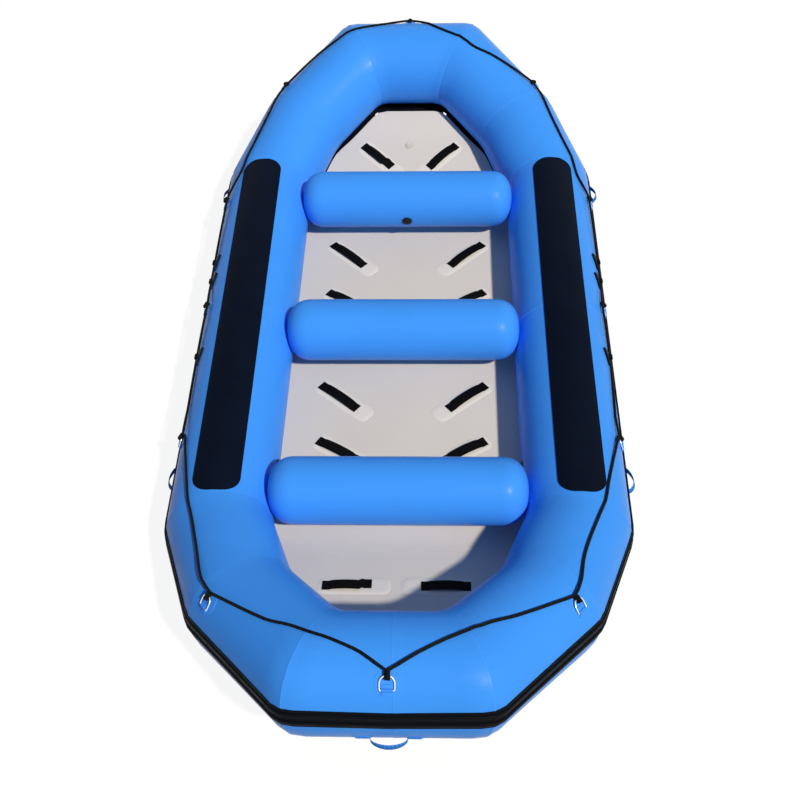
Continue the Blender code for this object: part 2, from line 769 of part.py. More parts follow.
def strap_sections(span, foot, rise, thickness, steps, bends=()):
    """The sections of a flat strap with two feet and an arch between them. Each
    has the place along, the height, and the edge of the webbing as -1 or 1."""
    line = [(-span / 2 - foot, 0)]
    for i in range(steps + 1):
        share = i / steps
        line.append((span * (share - 1 / 2), rise * math.sqrt(math.sin(math.pi * share))))
    line.append((span / 2 + foot, 0))
    line += [(x, 0) for x in bends if span / 2 < abs(x) < span / 2 + foot]
    line.sort()
    sections = []
    for i, (x, z) in enumerate(line):
        before = line[max(i - 1, 0)]
        after = line[min(i + 1, len(line) - 1)]
        run = Vector((after[0] - before[0], after[1] - before[1])).normalized()
        over = (x - run.y * thickness, z + run.x * thickness)
        sections.append([(x, z, -1), (x, z, 1), (*over, 1), (*over, -1)])
    return sections


def make_foot_straps(finish):
    """The webbing loops that hold the paddlers' feet."""
    half = FOOT_STRAP_WEBBING_WIDTH / 2
    base = FOOT_PATCH_THICKNESS + GAP
    for name, middle, length, turn in strap_places():
        span = length - 2 * FOOT_STRAP_FOOT
        sections = strap_sections(
            span, FOOT_STRAP_FOOT, FOOT_STRAP_RISE, FOOT_STRAP_WEBBING_THICKNESS, FOOT_STRAP_STEPS
        )
        rings = [[Vector((x, across * half, base + z)) for x, z, across in ring] for ring in sections]
        add_object(name, loft(rings), finish, strap_seat(middle, length, turn), smooth=False)


def make_handles(finish):
    """The webbing carry handles, round the outside under the strake."""
    half = HANDLE_WEBBING_WIDTH / 2
    base = SKIN_GAP + half**2 / (2 * tube_radius)
    for name, along, angle in handle_places():
        reach = HANDLE_SPAN / 2 + HANDLE_FOOT
        longer = stretch(along, angle)
        bends = [(at - along) * longer for at in bend_stations(along - reach, along + reach)]
        rise = END_HANDLE_RISE if angle == END_HANDLE_ANGLE else HANDLE_RISE
        sections = strap_sections(
            HANDLE_SPAN, HANDLE_FOOT, rise, HANDLE_WEBBING_THICKNESS, HANDLE_STEPS, bends
        )
        rings = []
        for section in sections:
            ring = []
            for x, z, across in section:
                turn = angle + across * half / (tube_radius + z)
                ring.append(ring_point(along + x / longer, turn, base + z))
            rings.append(ring)
        add_object(name, loft(rings), finish, smooth=False)


def strake_angle(along):
    """The strake's middle climbs the tube from the sides to the ends."""
    along %= 2 * quarter
    along = min(along, 2 * quarter - along)
    share = min(max((along - side_bend_at) / (cross_bend_at - side_bend_at), 0), 1)
    return STRAKE_SIDE_ANGLE + (STRAKE_END_ANGLE - STRAKE_SIDE_ANGLE) * share


def strake_outline():
    """Across the strake: distance round the tube and height over the skin."""
    half = STRAKE_WIDTH / 2
    sag = (half / STRAKE_INNER_STEPS) ** 2 / (2 * tube_radius)
    outline = []
    for i in range(STRAKE_INNER_STEPS + 1):
        outline.append((half - STRAKE_WIDTH * i / STRAKE_INNER_STEPS, SKIN_GAP + sag))
    outline.append((-half, STRAKE_BASE / 2))
    for middle in (-STRAKE_RIB_PLACE, STRAKE_RIB_PLACE):
        inner = STRAKE_RIB_WIDTH / 2 - STRAKE_RIB_SLOPE
        outline.append((middle - STRAKE_RIB_WIDTH / 2, STRAKE_BASE))
        outline.append((middle - inner, STRAKE_RIB_HEIGHT))
        outline.append((middle + inner, STRAKE_RIB_HEIGHT))
        outline.append((middle + STRAKE_RIB_WIDTH / 2, STRAKE_BASE))
    outline.append((half, STRAKE_BASE / 2))
    return outline


def make_strake(finish):
    """One ribbed strip all round the boat."""
    places = [0] + bend_stations(0, 4 * quarter)
    rings = []
    for at in places:
        middle = strake_angle(at)
        rings.append([ring_point(at, middle + s / tube_radius, h) for s, h in strake_outline()])
    add_object("rubbing_strake", loft(rings, closed=True), finish)


def make_wear_patches(finish):
    """The long anti-slip patches on top of the side tubes."""
    step = WEAR_PATCH_WIDTH / WEAR_PATCH_COLUMNS
    low = GAP + step**2 / (2 * tube_radius)
    for name, along in (("right", 0), ("left", 2 * quarter)):
        half = WEAR_PATCH_LENGTH / 2
        patch = skin_slab(
            along, half, WEAR_PATCH_ANGLE, WEAR_PATCH_WIDTH / 2, WEAR_PATCH_COLUMNS,
            WEAR_PATCH_END_POWER, low, low + WEAR_PATCH_THICKNESS, straight=half - WEAR_PATCH_END,
        )
        add_object(f"wear_patch_{name}", patch, finish)


def lace_strip_sections():
    """The strip's two edges in one quarter, at the floor and at the tube."""
    sections = []
    for number, corner in enumerate(floor_corners(floor_inset() - GAP - LACE_STRIP_THICKNESS / 2)):
        inner = corner + Vector((0, 0, LACE_STRIP_FLOOR_SHARE * FLOOR_THICKNESS))
        clear = GAP + LACE_STRIP_THICKNESS / 2
        outer = section_point(number, LACE_STRIP_ANGLE, tube_radius + clear)
        sections.append((inner, outer))
    return sections


def make_lace_strip(finish):
    """The strip welded under the tubes that the floor's edge is laced to."""
    quarter_sections = lace_strip_sections()
    order = []
    for sign_x, sign_y, sections in (
        (1, 1, quarter_sections[:-1]),
        (-1, 1, quarter_sections[:0:-1]),
        (-1, -1, quarter_sections[:-1]),
        (1, -1, quarter_sections[:0:-1]),
    ):
        for inner, outer in sections:
            flip = Vector((sign_x, sign_y, 1))
            order.append((inner * flip, outer * flip))
    rings = []
    for inner, outer in order:
        across = (outer - inner).normalized()
        side = Vector((0, 0, 1)).cross(across)
        up = across.cross(side).normalized()
        up = up if up.z > 0 else -up
        half = up * LACE_STRIP_THICKNESS / 2
        rings.append([inner - half, outer - half, outer + half, inner + half])
    add_object("lace_strip", loft(rings, closed=True), finish, smooth=False)


def ring_outline():
    """The wire's centreline: a straight bar, two legs and a round bow."""
    half = RING_WIDTH / 2
    corner = RING_CORNER_RADIUS
    points = []
    for i in range(RING_CORNER_STEPS + 1):
        angle = math.pi / 2 * (3 + i / RING_CORNER_STEPS)
        points.append((half - corner + corner * math.cos(angle), corner + corner * math.sin(angle)))
    for i in range(RING_BOW_STEPS + 1):
        angle = math.pi * i / RING_BOW_STEPS
        points.append((half * math.cos(angle), RING_HEIGHT - half + half * math.sin(angle)))
    for i in range(RING_CORNER_STEPS + 1):
        angle = math.pi / 2 * (2 + i / RING_CORNER_STEPS)
        points.append((-half + corner + corner * math.cos(angle), corner + corner * math.sin(angle)))
    return points


def wire_loop(outline, radius, sides):
    """A round wire along a closed outline in X and Y."""
    rings = []
    count = len(outline)
    for i, (x, y) in enumerate(outline):
        before, after = outline[i - 1], outline[(i + 1) % count]
        first = Vector((x - before[0], y - before[1])).normalized()
        second = Vector((after[0] - x, after[1] - y)).normalized()
        run = (first + second).normalized()
        side = Vector((run.y, -run.x, 0)) / max(first.dot(run), 0.5)
        ring = []
        for k in range(sides):
            angle = 2 * math.pi * (k + 0.5) / sides
            ring.append(
                Vector((x, y, 0)) + radius * (math.cos(angle) * side + Vector((0, 0, math.sin(angle))))
            )
        rings.append(ring)
    return loft(rings, closed=True)


def make_rings(finish):
    """The D-rings, each with its origin on the bar that it turns on."""
    for name, along, angle in ring_places():
        place = seat(along, angle) @ Matrix.Translation((0, 0, ring_bar_height))
        add_object(name, wire_loop(ring_outline(), ring_radius, RING_WIRE_SIDES), finish, place)


def hitch_seat(along, angle):
    """A frame on the skin under a ring's bow, up round the tube from its bar."""
    turn = Matrix.Rotation(-HITCH_PLACE / tube_radius, 4, "X")
    down = Matrix.Translation((0, 0, -tube_radius))
    return seat(along, angle) @ down @ turn @ down.inverted()


def hitch_entries(along, angle):
    """The line at one hitch: lifted over the ring's bow, and down on each side.
    Each entry has its place along, its angle and its point."""
    frame = hitch_seat(along, angle)
    up = HITCH_LENGTH / 2 - HITCH_STRAND / 2 + line_radius / 2
    height = RING_PATCH_THICKNESS + GAP + HITCH_HEIGHT / 2
    low = line_radius + LINE_LIFT
    leg_height = low + (height - low) * HITCH_LEG_LIFT_SHARE
    top = angle + (HITCH_PLACE + up) / tube_radius
    entries = [(along, top, frame @ Vector((0, up, height)))]
    for x in (-HITCH_LEG, HITCH_LEG):
        point = frame @ Vector((x, up + HITCH_LEG_RISE, leg_height))
        entries.append((along + x, top + HITCH_LEG_RISE / tube_radius, point))
    return entries


def line_entries():
    """The line's chosen points all round the boat, from the stern hitch on."""
    entries = []
    for _, along, angle in ring_places():
        entries += hitch_entries(along, angle)
    free = []
    for (side, end), shares in LINE_ROUTE_SHARES.items():
        for share, angle in shares:
            at = place_along(share * quarter, side == "right", end == "bow")
            free.append((at, math.radians(angle)))
    for _, at in guide_places():
        free += [(at - GUIDE_LENGTH, GUIDE_ANGLE), (at + GUIDE_LENGTH, GUIDE_ANGLE)]
    low = line_radius + LINE_LIFT
    entries += [(at, angle, ring_point(at, angle, low)) for at, angle in free]
    start = 3 * quarter
    return sorted(((at - start) % (4 * quarter), angle, point) for at, angle, point in entries)


def line_points():
    """The chosen points, with more between them on a smooth curve over the skin."""
    entries = line_entries()
    whole, low = 4 * quarter, line_radius + LINE_LIFT
    count = len(entries)
    points = []
    for i, (at, angle, point) in enumerate(entries):
        next_at, next_angle, _ = entries[(i + 1) % count]
        run = (next_at - at) % whole
        turn = next_angle - angle
        slope = slope_between(entries[i - 1], entries[(i + 1) % count], whole)
        next_slope = slope_between(entries[i], entries[(i + 2) % count], whole)
        points.append(point)
        steps = max(math.ceil(run / LINE_STEP), math.ceil(abs(turn) / LINE_TURN))
        for k in range(1, steps):
            bent = hermite(angle, next_angle, slope * run, next_slope * run, k / steps)
            points.append(ring_point(at + run * k / steps + 3 * quarter, bent, low))
    return points


def slope_between(first, second, whole):
    """How fast the line's angle changes between two of its points."""
    return (second[1] - first[1]) / ((second[0] - first[0]) % whole)


def hermite(first, second, slope, next_slope, share):
    """A smooth curve between two values with the slopes at both ends."""
    square, cube = share**2, share**3
    return (
        (2 * cube - 3 * square + 1) * first
        + (cube - 2 * square + share) * slope
        + (3 * square - 2 * cube) * second
        + (cube - square) * next_slope
    )


def make_line(finish):
    """The grab line: one closed run all round, with its turns round the rings."""
    route = line_points()
    curve = bpy.data.curves.new("grab_line", "CURVE")
    curve.dimensions = "3D"
    spline = curve.splines.new("POLY")
    spline.points.add(len(route) - 1)
    for spot, point in zip(spline.points, route):
        spot.co = (*point, 1)
    spline.use_cyclic_u = True
    curve.bevel_depth = line_radius
    curve.bevel_resolution = LINE_BEVEL_RESOLUTION
    curve.twist_mode = "MINIMUM"
    source = bpy.data.objects.new("grab_line_curve", curve)
    bpy.context.scene.collection.objects.link(source)
    bpy.context.view_layer.update()
    bm = bmesh.new()
    bm.from_mesh(source.to_mesh())
    source.to_mesh_clear()
    bpy.data.objects.remove(source)
    line = add_object("grab_line", bm, finish)
    hitches = bmesh.new()
    base = RING_PATCH_THICKNESS + GAP
    for _, along, angle in ring_places():
        place = hitch_seat(along, angle) @ Matrix.Translation((0, 0, base + HITCH_HEIGHT / 2))
        hitch_loop(place, hitches)
    combine(line, add_helper("grab_line_hitches", hitches), "UNION")


def hitch_loop(place, bm):
    """The turns of line round a ring's bow, as one band with a clear middle."""
    outer = rounded_box(HITCH_LENGTH, HITCH_HEIGHT, HITCH_STRAND, HITCH_CORNER_STEPS)
    inner = rounded_box(
        HITCH_LENGTH - 2 * HITCH_STRAND, HITCH_HEIGHT - 2 * HITCH_STRAND,
        HITCH_STRAND / 3, HITCH_CORNER_STEPS,
    )
    half = HITCH_WIDTH / 2
    rings = []
    for outline, x in ((outer, -half), (outer, half), (inner, half), (inner, -half)):
        rings.append([place @ Vector((x, y, z)) for y, z in outline])
    return loft(rings, closed=True, bm=bm)


def guide_places():
    """Each line guide's name and place along the ring."""
    places = []
    for side, right in (("right", True), ("left", False)):
        for name, share in zip(("front", "middle", "rear"), GUIDE_PLACE_SHARES):
            places.append((f"line_guide_{side}_{name}", side_place(share, right, GUIDE_ANGLE)))
    return places


def guide_outline():
    """A guide seen along the line: two feet and an arch over the line."""
    inner = line_radius + LINE_LIFT / 2
    outer = inner + GUIDE_WALL
    centre = line_radius + LINE_LIFT
    foot = outer + GUIDE_FOOT
    outline = [(-foot, GAP), (-inner, GAP)]
    for i in range(GUIDE_STEPS + 1):
        angle = math.pi * (1 - i / GUIDE_STEPS)
        outline.append((inner * math.cos(angle), centre + inner * math.sin(angle)))
    outline += [(inner, GAP), (foot, GAP), (foot, GUIDE_FOOT_THICKNESS), (outer, GUIDE_FOOT_THICKNESS)]
    for i in range(GUIDE_STEPS + 1):
        angle = math.pi * i / GUIDE_STEPS
        outline.append((outer * math.cos(angle), centre + outer * math.sin(angle)))
    outline += [(-outer, GUIDE_FOOT_THICKNESS), (-foot, GUIDE_FOOT_THICKNESS)]
    return outline


def make_guides(finish):
    """The rubber guides, each an arch over the line and a tail up the tube."""
    for name, along in guide_places():
        place = seat(along, GUIDE_ANGLE)
        arch = along_bar(place, guide_outline(), GUIDE_LENGTH / 2, bmesh.new())
        guide = add_object(name, arch, finish, smooth=False)
        bow = 1 if along % (4 * quarter) < quarter or along > 3 * quarter else -1
        combine(guide, guide_tail(name, along, bow), "UNION")


def guide_tail(name, along, bow):
    """The tail: flat on the tube, from the arch's side to a round tip."""
    half = GUIDE_TAIL_WIDTH / 2
    first, last = line_radius + LINE_LIFT / 2 + GUIDE_WALL / 2, GUIDE_TAIL_LENGTH - half
    stations = [(first, half), ((first + last) / 2, half)]
    for i in range(GUIDE_TAIL_STEPS):
        turn = math.pi / 2 * i / GUIDE_TAIL_STEPS
        stations.append((last + half * math.sin(turn), half * math.cos(turn)))
    rings = []
    for up, side in stations:
        at = along + bow * GUIDE_TAIL_LEAN * up / GUIDE_TAIL_LENGTH
        angle = GUIDE_ANGLE + up / tube_radius
        top = GAP + GUIDE_TAIL_THICKNESS
        rings.append([
            ring_point(at - side, angle, GAP), ring_point(at + side, angle, GAP),
            ring_point(at + side, angle, top), ring_point(at - side, angle, top),
        ])
    return add_helper(f"{name}_tail", loft(rings))


def make_caps(finish):
    """The valve caps, each with its origin on the axis that it turns on."""
    places = {name: seat(at, CHAMBER_VALVE_ANGLE) for name, at in chamber_valve_places().items()}
    for name, y, face in zip(("front", "middle", "rear"), thwart_places(), THWART_VALVE_FACES):
        places[f"valve_cap_thwart_{name}"] = thwart_valve_place(y, face)
    places["valve_cap_floor"] = floor_seat(0, FLOOR_VALVE_SHARE * side_y, VALVE_FLANGE_RADIUS)
    for name, place in places.items():
        low = VALVE_CAP_SEAT
        high = low + VALVE_CAP_HEIGHT
        cap = add_object(
            name,
            extrude_outline(circle(VALVE_CAP_RADIUS, VALVE_SIDES), low, high),
            finish,
            place,
        )
        grip = rounded_box(VALVE_GRIP_LENGTH, VALVE_GRIP_WIDTH, VALVE_GRIP_WIDTH / 3, RING_CORNER_STEPS)
        bar = extrude_outline(grip, high - VALVE_CAP_HEIGHT / 2, high + VALVE_GRIP_HEIGHT)
        helper = add_helper(f"{name}_grip", bar)
        helper.matrix_world = place
        combine(cap, helper, "UNION")


def build():
    """Clears the scene and makes every piece."""
    for old in list(bpy.data.objects):
        bpy.data.objects.remove(old)
    fabric = material("blue_coated_fabric", (0.06, 0.30, 0.90), 0.35)
    floor = material("grey_coated_fabric", (0.60, 0.60, 0.59), 0.45)
    rubber = material("black_rubber", (0.012, 0.012, 0.014), 0.55)
    mat = material("black_textured_fabric", (0.006, 0.010, 0.018), 0.60)
    webbing = material("black_webbing", (0.010, 0.010, 0.011), 0.80)
    blue_webbing = material("blue_webbing", (0.05, 0.33, 0.85), 0.75)
    steel = material("stainless_steel", (0.70, 0.70, 0.72), 0.20, 1.0)
    plastic = material("black_plastic", (0.015, 0.015, 0.016), 0.40)
    make_chambers(fabric)
    make_thwarts(fabric)
    make_floor(floor)
    make_lace_strip(rubber)
    make_wear_patches(mat)
    make_strake(rubber)
    make_rings(steel)
    make_line(webbing)
    make_guides(rubber)
    make_handles(blue_webbing)
    make_foot_straps(webbing)
    make_caps(plastic)


build()
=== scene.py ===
"""The looks of a self-bailing river raft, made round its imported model.

Every piece that is glued or welded to the tubes is shaped flat or straight first,
and is then laid on the tube ring by its distance along and its angle round it.
"""

import json
import math

import bmesh
import bpy
from bpy.props import FloatProperty, FloatVectorProperty, IntProperty, PointerProperty
from mathutils import Matrix, Vector


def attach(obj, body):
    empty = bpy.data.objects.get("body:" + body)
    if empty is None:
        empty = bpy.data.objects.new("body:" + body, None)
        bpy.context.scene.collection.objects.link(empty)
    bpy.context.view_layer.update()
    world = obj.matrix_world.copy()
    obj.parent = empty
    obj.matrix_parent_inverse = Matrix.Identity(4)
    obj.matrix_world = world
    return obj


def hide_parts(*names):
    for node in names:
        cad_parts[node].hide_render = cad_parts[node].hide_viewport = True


bl_info = {
    "name": "River raft looks",
    "version": (1, 0, 0),
    "blender": (4, 5, 0),
    "location": "3D View > Sidebar > Raft",
    "description": "Tubes, thwarts, floor, fittings and grab line of an inflatable raft",
    "category": "Add Mesh",
}

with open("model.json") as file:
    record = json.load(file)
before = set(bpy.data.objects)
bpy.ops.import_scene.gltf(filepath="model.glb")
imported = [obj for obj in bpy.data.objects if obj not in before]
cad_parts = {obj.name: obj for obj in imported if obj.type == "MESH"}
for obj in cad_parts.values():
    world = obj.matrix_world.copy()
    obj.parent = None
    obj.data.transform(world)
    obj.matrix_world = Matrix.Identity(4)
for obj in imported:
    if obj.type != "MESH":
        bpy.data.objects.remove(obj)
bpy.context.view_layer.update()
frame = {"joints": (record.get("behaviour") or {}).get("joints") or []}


# Sizes of the tube ring, in metres, as in the model
TUBE_RADIUS = 0.225
SIDE_X = 0.765
SIDE_Y = 1.149
END_Y = 1.955
CROSS_X = 0.274
MIDDLE_X = CROSS_X + 0.672 * (SIDE_X - CROSS_X)
MIDDLE_Y = END_Y - 0.464 * (END_Y - SIDE_Y)
END_RISE = 0.257
MIDDLE_RISE = 0.405 * END_RISE
BEND_REACH = 0.05  # how far a bend starts before its corner
BEND_STEPS = 2

UP = Vector((0, 0, 1))
ACROSS = Vector((1, 0, 0))


def linear(hex_colour):
    """An sRGB hex colour as linear red, green and blue."""
    parts = [int(hex_colour[i : i + 2], 16) / 255 for i in (0, 2, 4)]
    return [c / 12.92 if c <= 0.04045 else ((c + 0.055) / 1.055) ** 2.4 for c in parts]


def colour_property(name, hex_colour, description):
    """A colour that a user may change, with its default written as sRGB hex."""
    return FloatVectorProperty(
        name=name, description=description, subtype="COLOR", size=3, min=0, max=1,
        default=linear(hex_colour),
    )


class RaftColours(bpy.types.PropertyGroup):
    """The colours of the raft's materials."""

    tube: colour_property("Tube fabric", "3D93F8", "Coated fabric of the tubes and thwarts")
    floor: colour_property("Floor fabric", "C9C8C5", "Coated fabric of the floor")
    patch: colour_property("Strap patch", "D2D2CF", "Bare fabric patches under the foot straps")
    wear: colour_property("Wear patch", "080F1E", "Anti-slip fabric on the side tubes")
    rubber: colour_property("Rubber", "06090F", "Strake, line guides and lacing strip")
    rope: colour_property("Rope", "08090B", "Grab line and its turns")
    webbing: colour_property("Webbing", "08080A", "Foot straps")
    handle: colour_property("Handle webbing", "3C8DF0", "Carry handles")
    steel: colour_property("Steel", "E6E9EE", "D-rings")
    plastic: colour_property("Plastic", "121214", "Valves and their caps")
    pale_plastic: colour_property("Pale plastic", "C4C4C1", "Floor valve and its cap")
    backdrop: colour_property("Backdrop", "FFFFFF", "Studio floor and background")
    bounce: colour_property("Bounce", "404040", "Shade of what the studio floor sends back")


class RaftSizes(bpy.types.PropertyGroup):
    """The sizes and the strengths of the lights that a user would change."""

    tube_sides: IntProperty(
        name="Tube sides", description="Sides round a tube", default=72, min=24,
    )
    seam_width: FloatProperty(
        name="Seam width", description="How far one panel is welded over the next",
        default=0.030, unit="LENGTH",
    )
    seam_height: FloatProperty(
        name="Seam height", description="How far a seam's edge stands over the tube",
        default=0.0010, unit="LENGTH",
    )
    rope_diameter: FloatProperty(
        name="Rope diameter", description="Diameter of the grab line",
        default=0.012, unit="LENGTH",
    )
    key_strength: FloatProperty(
        name="Key light", description="Strength of the sun lamp", default=3.8, min=0,
    )
    fill_strength: FloatProperty(
        name="Fill light", description="Strength of the sky", default=0.24, min=0,
    )


def colours():
    return bpy.context.scene.raft_colours


def sizes():
    return bpy.context.scene.raft_sizes


# Materials


def add_node(tree, kind, values=None, links=None, **settings):
    """Adds one node with its settings, the values of its sockets and what is linked into them."""
    node = tree.nodes.new(kind)
    for name, value in settings.items():
        setattr(node, name, value)
    for socket, value in (values or {}).items():
        node.inputs[socket].default_value = value
    for socket, source in (links or {}).items():
        tree.links.new(source, node.inputs[socket])
    return node


def wave_scale(spacing):
    """The scale at which a wave texture's bands stand that far apart, in metres."""
    return 2 * math.pi / 20 / spacing


def new_material(name, colour, roughness, **values):
    """A material with a Principled shader: its name, tree and shader node."""
    made = bpy.data.materials.new(name)
    made.use_nodes = True
    tree = made.node_tree
    shader = tree.nodes["Principled BSDF"]
    shader.inputs["Base Color"].default_value = (*colour, 1)
    shader.inputs["Roughness"].default_value = roughness
    for socket, value in values.items():
        shader.inputs[socket.replace("_", " ")].default_value = value
    return made, tree, shader


def shade_mix(tree, colour, factor, darker, lighter):
    """The colour made darker and lighter by a factor from 0 to 1."""
    low = (*[c * darker for c in colour], 1)
    high = (*[min(c * lighter, 1) for c in colour], 1)
    return add_node(
        tree, "ShaderNodeMix", {6: low, 7: high}, {0: factor}, data_type="RGBA",
    ).outputs[2]


def coated_fabric(name, colour, roughness, gloss_level=0.07):
    """PVC coated polyester: a satin skin, a faint woven scrim under it, and
    handling marks that change its gloss. It puckers beside the welded seams."""
    made, tree, shader = new_material(
        name, colour, roughness, IOR=1.53, Specular_IOR_Level=gloss_level,
    )
    place = add_node(tree, "ShaderNodeTexCoord")
    uv = place.outputs["UV"]
    clouds = add_node(
        tree, "ShaderNodeTexNoise", {"Scale": 3.0, "Detail": 4.0, "Roughness": 0.6},
        {"Vector": place.outputs["Object"]},
    )
    # the cut edge of a welded seam is painted a little paler: a painted highlight where the edge
    # would catch the light
    seam_edge_highlight = add_node(tree, "ShaderNodeAttribute", attribute_name="seam_edge_highlight")
    painted_edge_highlight = (*[min(c * 1.05 + 0.012, 1) for c in colour], 1)
    cloudy = shade_mix(tree, colour, clouds.outputs["Fac"], darker=0.95, lighter=1.05)
    skin = add_node(
        tree, "ShaderNodeMix", {7: painted_edge_highlight}, {0: seam_edge_highlight.outputs["Fac"], 6: cloudy},
        data_type="RGBA",
    )
    tree.links.new(skin.outputs[2], shader.inputs["Base Color"])
    rub = add_node(
        tree, "ShaderNodeTexNoise", {"Scale": 14.0, "Detail": 6.0, "Roughness": 0.7},
        {"Vector": place.outputs["Object"]},
    )
    gloss = add_node(
        tree, "ShaderNodeMapRange",
        {"From Min": 0.3, "From Max": 0.7, "To Min": roughness - 0.04, "To Max": roughness + 0.08},
        {"Value": rub.outputs["Fac"]},
    )
    tree.links.new(gloss.outputs["Result"], shader.inputs["Roughness"])
    # threads of the scrim, 16 mm apart: over ten times coarser than real ones, to show at all
    weave = []
    for direction in ("X", "Y"):
        weave.append(add_node(
            tree, "ShaderNodeTexWave", {"Scale": wave_scale(0.015708)}, {"Vector": uv},
            bands_direction=direction, wave_profile="SIN",
        ).outputs["Fac"])
    threads = add_node(
        tree, "ShaderNodeMath", links={0: weave[0], 1: weave[1]}, operation="MULTIPLY",
    )
    scrim_bump = add_node(
        tree, "ShaderNodeBump", {"Strength": 0.10, "Distance": 0.0004},
        {"Height": threads.outputs[0]},
    )
    # pulls in the fabric where it is gathered by a seam: long across it, short along it
    pucker = add_node(tree, "ShaderNodeAttribute", attribute_name="pucker")
    stretched = add_node(tree, "ShaderNodeMapping", {"Scale": (5.0, 26.0, 1.0)}, {"Vector": uv})
    folds = add_node(
        tree, "ShaderNodeTexNoise", {"Scale": 1.0, "Detail": 2.0, "Roughness": 0.5},
        {"Vector": stretched.outputs[0]},
    )
    gathered = add_node(
        tree, "ShaderNodeMath", links={0: folds.outputs["Fac"], 1: pucker.outputs["Fac"]},
        operation="MULTIPLY",
    )
    fold_bump = add_node(
        tree, "ShaderNodeBump", {"Strength": 0.5, "Distance": 0.006},
        {"Height": gathered.outputs[0], "Normal": scrim_bump.outputs[0]},
    )
    tree.links.new(fold_bump.outputs[0], shader.inputs["Normal"])
    return made


def anti_slip_fabric(colour):
    """Coated fabric with a pressed pebble grain: matt, with small glints."""
    made, tree, shader = new_material(
        "anti_slip_fabric", colour, roughness=0.62, IOR=1.5, Specular_IOR_Level=0.02,
    )
    place = add_node(tree, "ShaderNodeTexCoord")
    # pebbles 6 mm apart: about twice as coarse as real ones, so that they show
    pebbles = add_node(
        tree, "ShaderNodeTexVoronoi", {"Scale": 1 / 0.006, "Randomness": 0.8},
        {"Vector": place.outputs["UV"]}, feature="SMOOTH_F1",
    )
    grain = add_node(
        tree, "ShaderNodeBump", {"Strength": 0.6, "Distance": 0.0006},
        {"Height": pebbles.outputs["Distance"]}, invert=True,
    )
    tree.links.new(grain.outputs[0], shader.inputs["Normal"])
    dust = add_node(
        tree, "ShaderNodeTexNoise", {"Scale": 6.0, "Detail": 8.0, "Roughness": 0.7},
        {"Vector": place.outputs["Object"]},
    )
    dusty = shade_mix(tree, colour, dust.outputs["Fac"], darker=0.7, lighter=1.6)
    tree.links.new(dusty, shader.inputs["Base Color"])
    return made


def extruded_rubber(colour):
    """Extruded or moulded synthetic rubber: dark, satin and scuffed in clouds."""
    roughness = 0.42
    made, tree, shader = new_material(
        "extruded_rubber", colour, roughness, IOR=1.52, Specular_IOR_Level=0.04,
    )
    place = add_node(tree, "ShaderNodeTexCoord")
    scuffs = add_node(
        tree, "ShaderNodeTexNoise", {"Scale": 9.0, "Detail": 9.0, "Roughness": 0.75},
        {"Vector": place.outputs["Object"]},
    )
    gloss = add_node(
        tree, "ShaderNodeMapRange",
        {
            "From Min": 0.35, "From Max": 0.65,
            "To Min": roughness - 0.12, "To Max": roughness + 0.18,
        },
        {"Value": scuffs.outputs["Fac"]},
    )
    tree.links.new(gloss.outputs["Result"], shader.inputs["Roughness"])
    scuffed = shade_mix(tree, colour, scuffs.outputs["Fac"], darker=0.7, lighter=1.7)
    tree.links.new(scuffed, shader.inputs["Base Color"])
    skin = add_node(
        tree, "ShaderNodeBump", {"Strength": 0.25, "Distance": 0.0008},
        {"Height": scuffs.outputs["Fac"]},
    )
    tree.links.new(skin.outputs[0], shader.inputs["Normal"])
    return made


def braided_rope(colour, diameter):
    """Braided polypropylene: strands that cross in a herringbone round the core."""
    made, tree, shader = new_material(
        "braided_polypropylene", colour, roughness=0.55, IOR=1.49, Specular_IOR_Level=0.06,
    )
    place = add_node(tree, "ShaderNodeTexCoord")
    strands = []
    for turn in (-1, 1):
        slant = add_node(
            tree, "ShaderNodeMapping", {"Rotation": (0, 0, turn * math.radians(38))},
            {"Vector": place.outputs["UV"]},
        )
        # strands 20 mm apart: about six times coarser than real ones, so that they show
        strands.append(add_node(
            tree, "ShaderNodeTexWave", {"Scale": wave_scale(0.020106)},
            {"Vector": slant.outputs[0]},
        ).outputs["Fac"])
    braid = add_node(
        tree, "ShaderNodeMath", links={0: strands[0], 1: strands[1]}, operation="MAXIMUM",
    )
    relief = add_node(
        tree, "ShaderNodeBump", {"Strength": 0.9, "Distance": diameter / 12},
        {"Height": braid.outputs[0]},
    )
    tree.links.new(relief.outputs[0], shader.inputs["Normal"])
    # painted shade and sheen: the colour is darker in the grooves between strands and lighter on
    # their crowns
    painted_strand_shade = shade_mix(tree, colour, braid.outputs[0], darker=0.5, lighter=2.2)
    tree.links.new(painted_strand_shade, shader.inputs["Base Color"])
    return made


def woven_webbing(name, colour, lift):
    """Flat woven polyester webbing: ribs across it, and cords along it."""
    made, tree, shader = new_material(
        name, colour, roughness=0.72, IOR=1.5, Specular_IOR_Level=0.05,
    )
    place = add_node(tree, "ShaderNodeTexCoord")
    # ribs 14 mm and cords 22 mm apart: several times coarser than real ones, so that they show
    ribs = add_node(
        tree, "ShaderNodeTexWave", {"Scale": wave_scale(0.013823), "Distortion": 0.6},
        {"Vector": place.outputs["UV"]}, bands_direction="X",
    )
    cords = add_node(
        tree, "ShaderNodeTexWave", {"Scale": wave_scale(0.021991)},
        {"Vector": place.outputs["UV"]}, bands_direction="Y",
    )
    weave = add_node(
        tree, "ShaderNodeMath", links={0: ribs.outputs["Fac"], 1: cords.outputs["Fac"]},
        operation="MULTIPLY",
    )
    relief = add_node(
        tree, "ShaderNodeBump", {"Strength": 0.8, "Distance": 0.0007}, {"Height": weave.outputs[0]},
    )
    tree.links.new(relief.outputs[0], shader.inputs["Normal"])
    # painted shade and highlight: the low parts of the weave are darker, and the raised threads are
    # lighter by lift
    painted_weave_shade = shade_mix(tree, colour, weave.outputs[0], darker=0.7, lighter=lift)
    tree.links.new(painted_weave_shade, shader.inputs["Base Color"])
    return made


